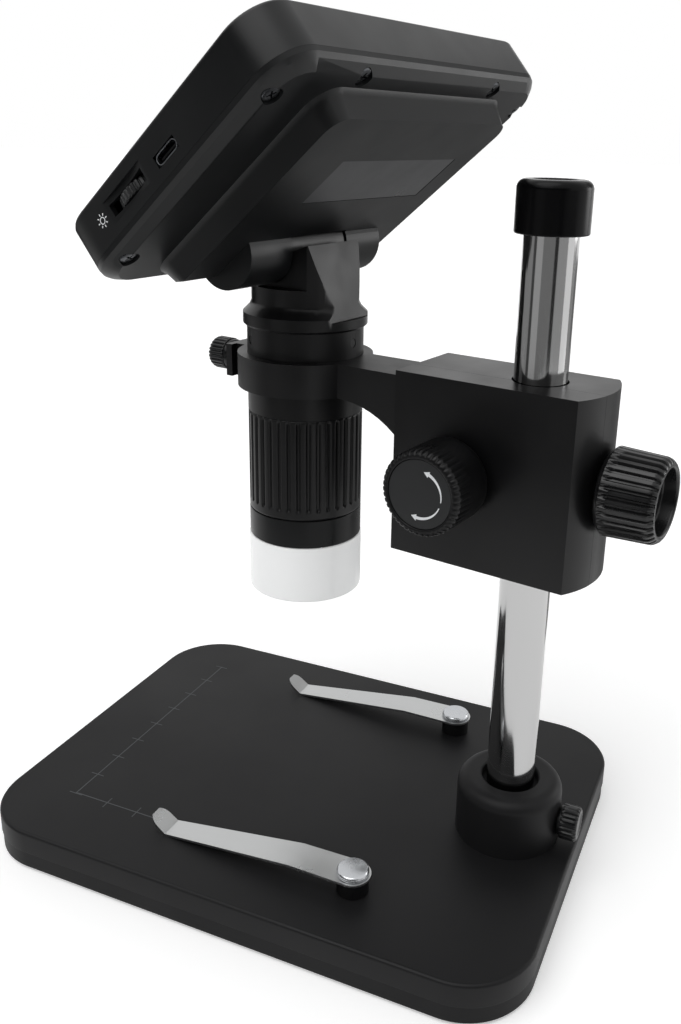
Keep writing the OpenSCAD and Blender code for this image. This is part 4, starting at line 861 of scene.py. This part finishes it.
hood = [(18.08, 82.8), (19.1, 82.8)] + arc(19.1, 83.18, 0.38, -90, 0, 3) + \
    arc(19.1, 102.02, 0.38, 0, 90, 3) + [(18.08, 102.4)]
turned("milky_hood", hood, 144, "cap_clear", SCOPE, "clear_cap", 40)
print("flute pitch", round(2 * pi * SLEEVE_R / FLUTES, 2), "mm")

# %% [markdown]
# ## Lamps round the lens
# Eight lamp chips sit in a ring under the lens, each a small block with a dome of yellow gel.
# They repeat round a circle, so a second tree puts one chip on each point of a circle and turns
# it to face outwards.

# %% The ring tree, used for the lamps
ring, c_in, c_out = new_tree("ring_of_parts", Part=OBJECT, Count=INT, Radius=FLOAT,
                             Height=FLOAT, First_turn=FLOAT)
circle = put(ring, "GeometryNodeMeshCircle", {"Vertices": c_in["Count"],
                                              "Radius": c_in["Radius"]})
lift = put(ring, "ShaderNodeCombineXYZ", {"Z": c_in["Height"]})
spin_by = put(ring, "ShaderNodeCombineXYZ", {"Z": c_in["First turn"]})
set_up = put(ring, "GeometryNodeTransform", {"Geometry": circle, "Translation": lift,
                                             "Rotation": spin_by})
spot = put(ring, "ShaderNodeSeparateXYZ", {0: put(ring, "GeometryNodeInputPosition")}).outputs
facing = put(ring, "ShaderNodeMath", {0: spot["Y"], 1: spot["X"]}, operation="ARCTAN2")
turned_to = put(ring, "ShaderNodeCombineXYZ", {"Z": facing})
chip_in = put(ring, "GeometryNodeObjectInfo", {"Object": c_in["Part"]})
placed = put(ring, "GeometryNodeInstanceOnPoints", {
    "Points": set_up, "Instance": chip_in.outputs["Geometry"], "Rotation": turned_to})
look_number = put(ring, "GeometryNodeInputMaterialIndex")
second = put(ring, "FunctionNodeCompare", {2: look_number, 3: 1}, data_type="INT",
             operation="EQUAL")
deliver(ring, placed, c_in, c_out, Selection=second)

BOARD_LOW = 101.2       # the lamp board's underside
GEL_R, GEL_DEEP, CHIP_DEEP = 1.4, 0.8, 0.6
chip = stack([(plate_outline(3.4, 3.4, 0.3, i, 2), z) for i, z in
              ((0.1, 0), (0, -0.1), (0, -CHIP_DEEP))])
spin([(0, -CHIP_DEEP - GEL_DEEP)] +
     [(GEL_R * sin(radians(a)), -CHIP_DEEP - GEL_DEEP * cos(radians(a)))
      for a in (15, 35, 55, 75, 90)] + [(0, -CHIP_DEEP)], 20, 1, chip)
chip = template("lamp_chip", chip)
for look in ("board_white", "led_yellow"):
    chip.data.materials.append(PAINT[look])
seed = bmesh.new()
seed.verts.new((0, 0, 0))
piece("lamp_ring", seed, ["board_white", "led_yellow"], SCOPE, "leds", crisp=40, trees=[(ring, {
    "Part": chip, "Count": 8, "Radius": 12.93, "Height": BOARD_LOW,
    "First turn": radians(22.5), "Finish": PAINT["led_yellow"]})])
bpy.data.objects.remove(chip)
board = plate_outline(8.95, 1.25, 0.1, steps=2, centre=(12.075, BOARD_LOW + 0.625))
turned("lamp_board", board, 72, "board_white", SCOPE, "led_board", 40)
tube = [(5.2, 100.1), (6.2, 100.1), (6.6, 100.5), (6.6, 123.4), (15.0, 123.4), (15.14, 123.6),
        (15.14, 131.3), (15.0, 131.4), (5.2, 131.4)]
tube += [(5.2 + (0.15 if k % 2 else 0), 131 - 0.75 * k) for k in range(1, 36)]
turned("lens_tube", tube, 72, "lens_tube", SCOPE, "lens_carrier", 40)
glass = [(0, 100.5), (2, 100.56), (3.6, 100.76), (5.0, 101.15), (5.15, 101.3), (5.15, 102.6),
         (5.0, 102.75), (3.6, 103.2), (2, 103.37), (0, 103.4)]
turned("front_glass", glass, 72, "lens_glass", SCOPE, "front_lens", 60)

# %% [markdown]
# ## Neck and hinge
# The neck is one moulding: a flange that clamps on the barrel, a short cone and a tongue with a
# sloping flat behind. It takes the light on that flat, so the edge round it matters. Its solid
# has the exact cut, and a slightly larger rounding gives the edge its soft line.

# %% Neck, pin and washers
softened("neck", 0.5, 3)
for node, edge in (("neck_screws", 0.12), ("hinge_pin", 0.3), ("hinge_washers", 0.15),
                   ("hinge_saddles", 0.3)):
    softened(node, edge)

# %% [markdown]
# ## The display head
# The head is a front housing and a rear cover that meet in a stepped groove, with a raised
# battery platform and two hinge knuckles behind. Both solids have their pockets and holes, so
# they are used again; the cover's bevels are in its solid, so it only gets crisp shading. The
# small round keys, the wheel and the sockets follow.

# %% Housing, cover and keys
softened("front_housing")
softened("rear_cover", 0, crisp=18)
softened("rating_label", 0.06, 1)
for key in ("power", "menu", "up", "down", "ok"):
    softened("button_" + key, 0.3)

# %% [markdown]
# ## The window over the display
# A smoked gloss sheet covers the display module. It is a stack of rounded outlines with a
# polished edge. The module behind it stays dark, as it is when it is switched off.

# %% Window
window = stack([(plate_outline(106, 64, 0.6, i, 4, (0, 53.2)), z) for i, z in
                ((0.25, -1.2), (0, -1.0), (0, -0.4), (0.12, -0.24), (0.3, -0.2))])
piece("smoked_window", window, ["window_gloss"], HEAD, "screen_window", crisp=45)

# %% [markdown]
# ## Screws on points
# Six screws hold the rear cover, six hold the base plate and four join the block's shells, and
# point lists give their places. Each kind is drawn once, with a real cross recess sunk by a
# boolean, and a tree puts it on each point. Each screw is turned by its own chance angle from a
# fixed seed, as screws never stop at the same angle.

# %% The screw tree, used for the cover, the base and the block
on_points, s_in, s_out = new_tree("screws_on_points", Screw=OBJECT, Seed=INT)
one_screw = put(on_points, "GeometryNodeObjectInfo", {"Object": s_in["Screw"]})
ONE_TURN = 6.283
chance = put(on_points, "FunctionNodeRandomValue",
             {2: 0.0, 3: ONE_TURN, "Seed": s_in["Seed"]}, data_type="FLOAT")
any_turn = put(on_points, "ShaderNodeCombineXYZ", {"Z": chance.outputs[1]})
driven = put(on_points, "GeometryNodeInstanceOnPoints", {
    "Points": s_in["Geometry"], "Instance": one_screw.outputs["Geometry"],
    "Rotation": any_turn})
deliver(on_points, driven, s_in, s_out)


def cross_screw(head_r, head_h, shank_r, length, wide, blade=0.28):
    """A pan screw along +Z with its head's face at z 0. Its cross recess reaches wide from the
    middle, and its blades are blade to each side of theirs."""
    blank = spin([(0, 0), (head_r * 0.7, 0), (head_r * 0.93, 0.12), (head_r, 0.4),
                  (head_r, head_h), (shank_r, head_h), (shank_r, length), (0, length)], 40)
    cross = [(x * c - y * s, x * s + y * c) for c, s in ((1, 0), (0, 1), (-1, 0), (0, -1))
             for x, y in ((wide, -blade), (wide, blade), (blade, blade))]
    tool = stack([([(x * 1.05, y * 1.05) for x, y in cross], -0.3),
                  ([(x * 0.72, y * 0.9) for x, y in cross], min(1.0, head_h * 0.6))])
    return minus(blank, tool)


def screw_set(name, points, screw, place, solids, look, seed):
    part = template(name + "_one", screw)
    dots = bmesh.new()
    for p in points:
        dots.verts.new(p)
    piece(name, dots, [look], place, solids, crisp=35,
          trees=[(on_points, {"Screw": part, "Seed": seed, "Finish": PAINT[look]})])
    bpy.data.objects.remove(part)


cover_points = [(x, y, -17.7) for x in (-65, 65) for y in (14.9, 81.1)] + \
    [(x, 89.4, -17.7) for x in (-36, 36)]
screw_set("cover_cross_screws", cover_points, cross_screw(2.65, 2.4, 1.25, 11.8, 1.5), HEAD,
          "cover_screws", "screw_dark", 3)
base_points = [(x, y, 1.1) for x in (-56, 56) for y in (-81.5, 0, 81.5)]
screw_set("base_cross_screws", base_points, cross_screw(2.8, 1.7, 1.45, 10.4, 1.6), WORLD,
          "base_screws", "screw_steel", 5)
block_points = [(-z, y, -15.3) for y, z in ((-24, 160.5), (-34.1, 118.9), (15.1, 118.9),
                                            (15.1, 161.2))]
screw_set("block_cross_screws", block_points, cross_screw(2.8, 1.5, 1.5, 28.0, 1.6),
          ARM @ ALONG_X, "carriage_screws", "screw_black", 7)
print("screws:", len(cover_points) + len(base_points) + len(block_points))

# %% [markdown]
# ## Socket, wheel and marks
# The power socket is a rolled steel shell with round ends and a thin tongue inside. The dimmer
# is a small ribbed wheel that peeps out of a scooped window, and a printed sun marks it.

# %% Power socket
SOCKET = HEAD @ shift(69.7, 48.9, -8.9) @ ALONG_X
shell = stack([(plate_outline(3.16, 8.94, 1.57, i, 6), z) for i, z in
               ((0, -7.4), (0, -0.12), (0.1, 0), (0.3, 0), (0.38, -0.12), (0.38, -6.8))])
stack([(plate_outline(0.7, 6.6, 0.2, i, 3), z) for i, z in ((0, -6.9), (0, -1.0), (0.12, -0.85))],
      1, shell)
piece("power_socket_shell", shell, ["socket_steel", "clip_plastic"], SOCKET, "usb_socket",
      crisp=40)

# %% Dimmer wheel
WHEEL = HEAD @ shift(60.7, 30.6, -7.6)
WHEEL_R = 9.0
wheel = [(2.08, -1.5), (8.6, -1.5), (8.9, -1.3)] + wall(WHEEL_R, -1.1, 1.1, 4) + \
    [(8.9, 1.3), (8.6, 1.5), (2.08, 1.5)]
turned("dimmer_ribbed_wheel", wheel, 288, "wheel_plastic", WHEEL, "dimmer_wheel", 50,
       fluted("wheel_plastic", 36, 0.5, 0.42, 0.3, -9.0, 9.0, WHEEL_R))

# %% [markdown]
# ## Printed marks
# A film of ink is a few hundredths of a millimetre thick. It could be painted into the finish
# below it, but a separate thin film moves, scales and exports cleanly. The stage has a worn
# two-way scale with even ticks; its ticks are laid by the row tree.

# %% Sun mark and stage scale
sun = bmesh.new()
stroke([polar(0.9, a) for a in range(0, 361, 15)], [0.26] * 25, 0, sun)
for a in range(0, 360, 45):
    stroke([polar(1.35, a), polar(2.0, a)], [0.3] * 2, 0, sun)
thicken(sun, 0.03)
piece("sun_mark", sun, [WHITE_INK], HEAD @ shift(70.03, 18.2, -7.4) @ ALONG_X, (), "head")

STAGE_Z, LINE_HALF, TICK_HALF, TICK_REACH = 14.7, 0.18, 0.16, 2.6
FRONT_Y, SIDE_X = -70.4, 45.4       # where the scale's two lines run
line_top, tick_top = STAGE_Z + 0.028, STAGE_Z + 0.03
tick = template("scale_tick", box_form(-TICK_HALF, -TICK_REACH, STAGE_Z,
                                       TICK_HALF, TICK_REACH, tick_top))
side_tick = template("scale_side_tick", box_form(-TICK_REACH, -TICK_HALF, STAGE_Z,
                                                 TICK_REACH, TICK_HALF, tick_top))
front_line = box_form(-49.3, FRONT_Y - LINE_HALF, STAGE_Z, 46.0, FRONT_Y + LINE_HALF, line_top)
piece("front_scale", front_line, [FAINT_INK], WORLD, (), "base",
      trees=in_a_row(tick, 9, (-11.83, 0.0, 0.0), (45.8, FRONT_Y, 0.0), FAINT_INK))
side_line = box_form(SIDE_X - LINE_HALF, -70.2, STAGE_Z, SIDE_X + LINE_HALF, -8, line_top)
piece("side_scale", side_line, [FAINT_INK], WORLD, (), "base",
      trees=in_a_row(side_tick, 5, (0.0, 12.07, 0.0), (SIDE_X, -57.3, 0.0), FAINT_INK))
for extra in (tick, side_tick):
    bpy.data.objects.remove(extra)

# %% [markdown]
# ## What stays as it is
# The pieces inside are rarely seen. Their solids are right, so they stay and only take their
# real finish.

# %% Finishes for the solids that stay
stays = 0
for name, obj in nodes.items():
    if not obj.hide_render:
        obj.data.materials.clear()
        obj.data.materials.append(PAINT[slots[name]])
        stays += 1
print("solids kept with a new finish:", stays, "pieces made:", len(made))

# %% [markdown]
# ## Floor
# The instrument stands on a plain pale floor that keeps its shadow. More light would turn the
# floor white but also wash out the instrument. So the floor itself adds a little brightness,
# which only the camera and reflections see.

# %% Floor
GLOW = 0.34     # what the floor adds for the camera and for reflections, never as light


def seen_rays(tree):
    """1 for rays from the camera and for reflected or refracted rays, and 0 for light."""
    rays = put(tree, "ShaderNodeLightPath").outputs
    first_two = put(tree, "ShaderNodeMath", {0: rays["Is Camera Ray"], 1: rays["Is Glossy Ray"]},
                    operation="MAXIMUM")
    return put(tree, "ShaderNodeMath", {0: rays["Is Transmission Ray"], 1: first_two},
               operation="MAXIMUM")


ground = bpy.data.materials.new("pale_studio_floor")
ground.use_nodes = True
tree = ground.node_tree
skin = tree.nodes["Principled BSDF"]
speck = put(tree, "ShaderNodeTexNoise", {
    "Vector": put(tree, "ShaderNodeTexCoord").outputs["Object"], "Scale": 400.0})
shade = put(tree, "ShaderNodeMix", {0: speck, 6: linear("#f2f2f2"), 7: linear("#f6f6f6")},
            data_type="RGBA")
plug(skin, {"Base Color": shade.outputs[2], "Roughness": 0.9, "Specular IOR Level": 0.1})
strength = put(tree, "ShaderNodeMath", {0: seen_rays(tree), 1: GLOW}, operation="MULTIPLY")
glow = put(tree, "ShaderNodeEmission", {"Color": (1, 1, 1, 1), "Strength": strength})
total = put(tree, "ShaderNodeAddShader", {0: skin, 1: glow})
plug(tree.nodes["Material Output"], {"Surface": total})
floor_form = bmesh.new()
bmesh.ops.create_circle(floor_form, cap_ends=True, segments=96, radius=9.0)
floor = in_scene("studio_floor", floor_form)
floor.data.materials.append(ground)
print("floor:", [round(v, 1) for v in floor.dimensions[:2]], "m")

# %% [markdown]
# ## Light
# Two suns with wide, soft discs light the instrument from above and from the side, and a small
# softbox low behind the near corner lights the edges that face it. A single lamp would leave
# half of the black parts without shape. The white behind is what the world shows to the camera
# and to reflections; as light, the world is dimmer.

# %% World and lamps
world = bpy.data.worlds.new("studio")
scene.world = world
world.use_nodes = True
tree = world.node_tree
tree.nodes.clear()
room = put(tree, "ShaderNodeBackground", {"Color": linear("#ffffff"), "Strength": 0.45})
white = put(tree, "ShaderNodeBackground", {"Color": (1, 1, 1, 1), "Strength": 1.0})
pick = put(tree, "ShaderNodeMixShader", {0: seen_rays(tree), 1: room, 2: white})
put(tree, "ShaderNodeOutputWorld", {"Surface": pick})


def lamp(name, kind, azimuth, height, strength):
    """A lamp that shines from an azimuth, counted from the front towards +X, and a height,
    both in degrees. Also gives back the direction towards it."""
    light = bpy.data.lights.new(name, kind)
    light.energy = strength
    obj = in_scene(name, light)
    (flat, up), (y, x) = polar(1, height), polar(1, azimuth)
    towards = Vector((x * flat, -y * flat, up))
    obj.rotation_euler = (-towards).to_track_quat("-Z", "Y").to_euler()
    return obj, towards


# the suns are so far away that they light the whole floor alike, and so wide that they are soft
for name, azimuth, height, spread, strength in (("overhead", 60, 68, 50, 1.15),
                                                ("from_the_side", 75, 25, 40, 0.35)):
    sun_lamp, _ = lamp(name, "SUN", azimuth, height, strength)
    sun_lamp.data.angle = radians(spread)
softbox, towards = lamp("low_softbox", "AREA", 220, 5, 1.15)
softbox.data.shape = "SQUARE"
softbox.data.size = 0.34
softbox.location = HINGE.translation / 1000 + towards

# %% [markdown]
# ## Cards to reflect
# Black plastic shows its shape mostly by what it reflects, and chrome shows nothing else. More
# lamps would change the shadows too. So cards that only reflections see stand round the
# instrument: a dark table in front, dimmer walls behind, and light and dark bars that the pole
# shows as bands.

# %% Reflected cards
POLE = (POLE_X / 1000, POLE_Y / 1000)
CARD_STEPS = 12
LIE, BAR_LIE = 0.002, 0.003     # how far cards and bars lie over the floor


def card_paint(level):
    """A matt card as reflections see it: 0 is black and 1 is as bright as the room."""
    mat = bpy.data.materials.new("matt_card_%02d" % round(level * 100))
    mat.use_nodes = True
    tree = mat.node_tree
    tree.nodes.remove(tree.nodes["Principled BSDF"])
    nap = put(tree, "ShaderNodeTexNoise", {
        "Vector": put(tree, "ShaderNodeTexCoord").outputs["Object"], "Scale": 30.0})
    tone = put(tree, "ShaderNodeMapRange", {"Value": nap, "To Min": level * 0.9,
                                            "To Max": level * 1.1})
    plug(tree.nodes["Material Output"], {"Surface": put(tree, "ShaderNodeEmission",
                                                        {"Strength": tone})})
    return mat


def card(name, start, stop, near, far, low, high, level, centre=(0.0, 0.0)):
    """A bent card from azimuth start to stop, from distance near at height low to far at high.
    Only reflections see it."""
    form = bmesh.new()
    rows = []
    for k in range(CARD_STEPS + 1):
        a = radians(start + (stop - start) * k / CARD_STEPS)
        rows.append([form.verts.new((centre[0] + sin(a) * r, centre[1] - cos(a) * r, z))
                     for r, z in ((near, low), (far, high))])
    for a, b in zip(rows, rows[1:]):
        form.faces.new((a[0], b[0], b[1], a[1]))
    obj = in_scene(name, form)
    obj.data.materials.append(card_paint(level))
    obj.visible_camera = obj.visible_shadow = obj.visible_diffuse = False


card("table_card", 25, 120, 0.32, 0.68, LIE, LIE, 0.0)
card("wall_card", 20, 150, 1.1, 1.1, 0.25, 0.75, 0.0)
card("far_table_card", 225, 315, 0.2, 0.9, LIE, LIE, 0.3)
card("far_floor_card", 218, 262, 0.9, 1.8, LIE, LIE, 0.2)
card("far_wall_card", 230, 264, 1.3, 1.3, 0.42, 1.0, 0.3)
BAR_NEAR, BAR_FAR, BAR_TOP = 0.68, 1.1, 0.25
# each bar's azimuths about the pole and its brightness
bars = ((-40, -8, 0.0), (-8, 34, 0.32), (34, 47, 0.08), (47, 75, 0.48), (75, 122, 0.24),
        (122, 136, 0.04), (136, 178, 0.42), (214, 236, 0.38))
for number, (start, stop, level) in enumerate(bars):
    card("floor_bar_%d" % number, start, stop, BAR_NEAR, BAR_FAR, BAR_LIE, BAR_LIE, level, POLE)
    card("wall_bar_%d" % number, start, stop, BAR_FAR, BAR_FAR, BAR_LIE, BAR_TOP, level, POLE)

# %% [markdown]
# ## Camera
# The camera stands close by, beside and behind the instrument and as high as its display, so
# near parts look larger than far ones. Angles would be hard to find by trial. So its place and
# three directions are given instead: to the right, up, and back from what it looks at.

# %% Camera
lens = bpy.data.cameras.new("camera")
lens.sensor_fit = "AUTO"
lens.sensor_width = 36.0
lens.lens = 35.054
lens.shift_x = -0.0464
lens.shift_y = -0.0488
lens.clip_start = 0.01
lens.clip_end = 30
camera = in_scene("camera", lens)
right = Vector((-0.38995, 0.92047, 0.02604))
up = Vector((-0.28213, -0.14635, 0.94815))
back = Vector((0.87655, 0.36239, 0.31677))
look = Matrix((right, up, back)).transposed().to_4x4()
camera.matrix_world = Matrix.Translation((0.275159, 0.138552, 0.236757)) @ look
scene.camera = camera
scene.view_settings.view_transform = "Standard"
print("camera height:", round(camera.matrix_world.translation.z, 3), "m")

# %% [markdown]
# ## Triangles
# Each finished piece printed its outer size when piece() made it; here the triangles of all the
# finished pieces are counted.

# %% Triangles
print("triangles:", sum(len(p.vertices) - 2 for o in made.values() for p in o.data.polygons))
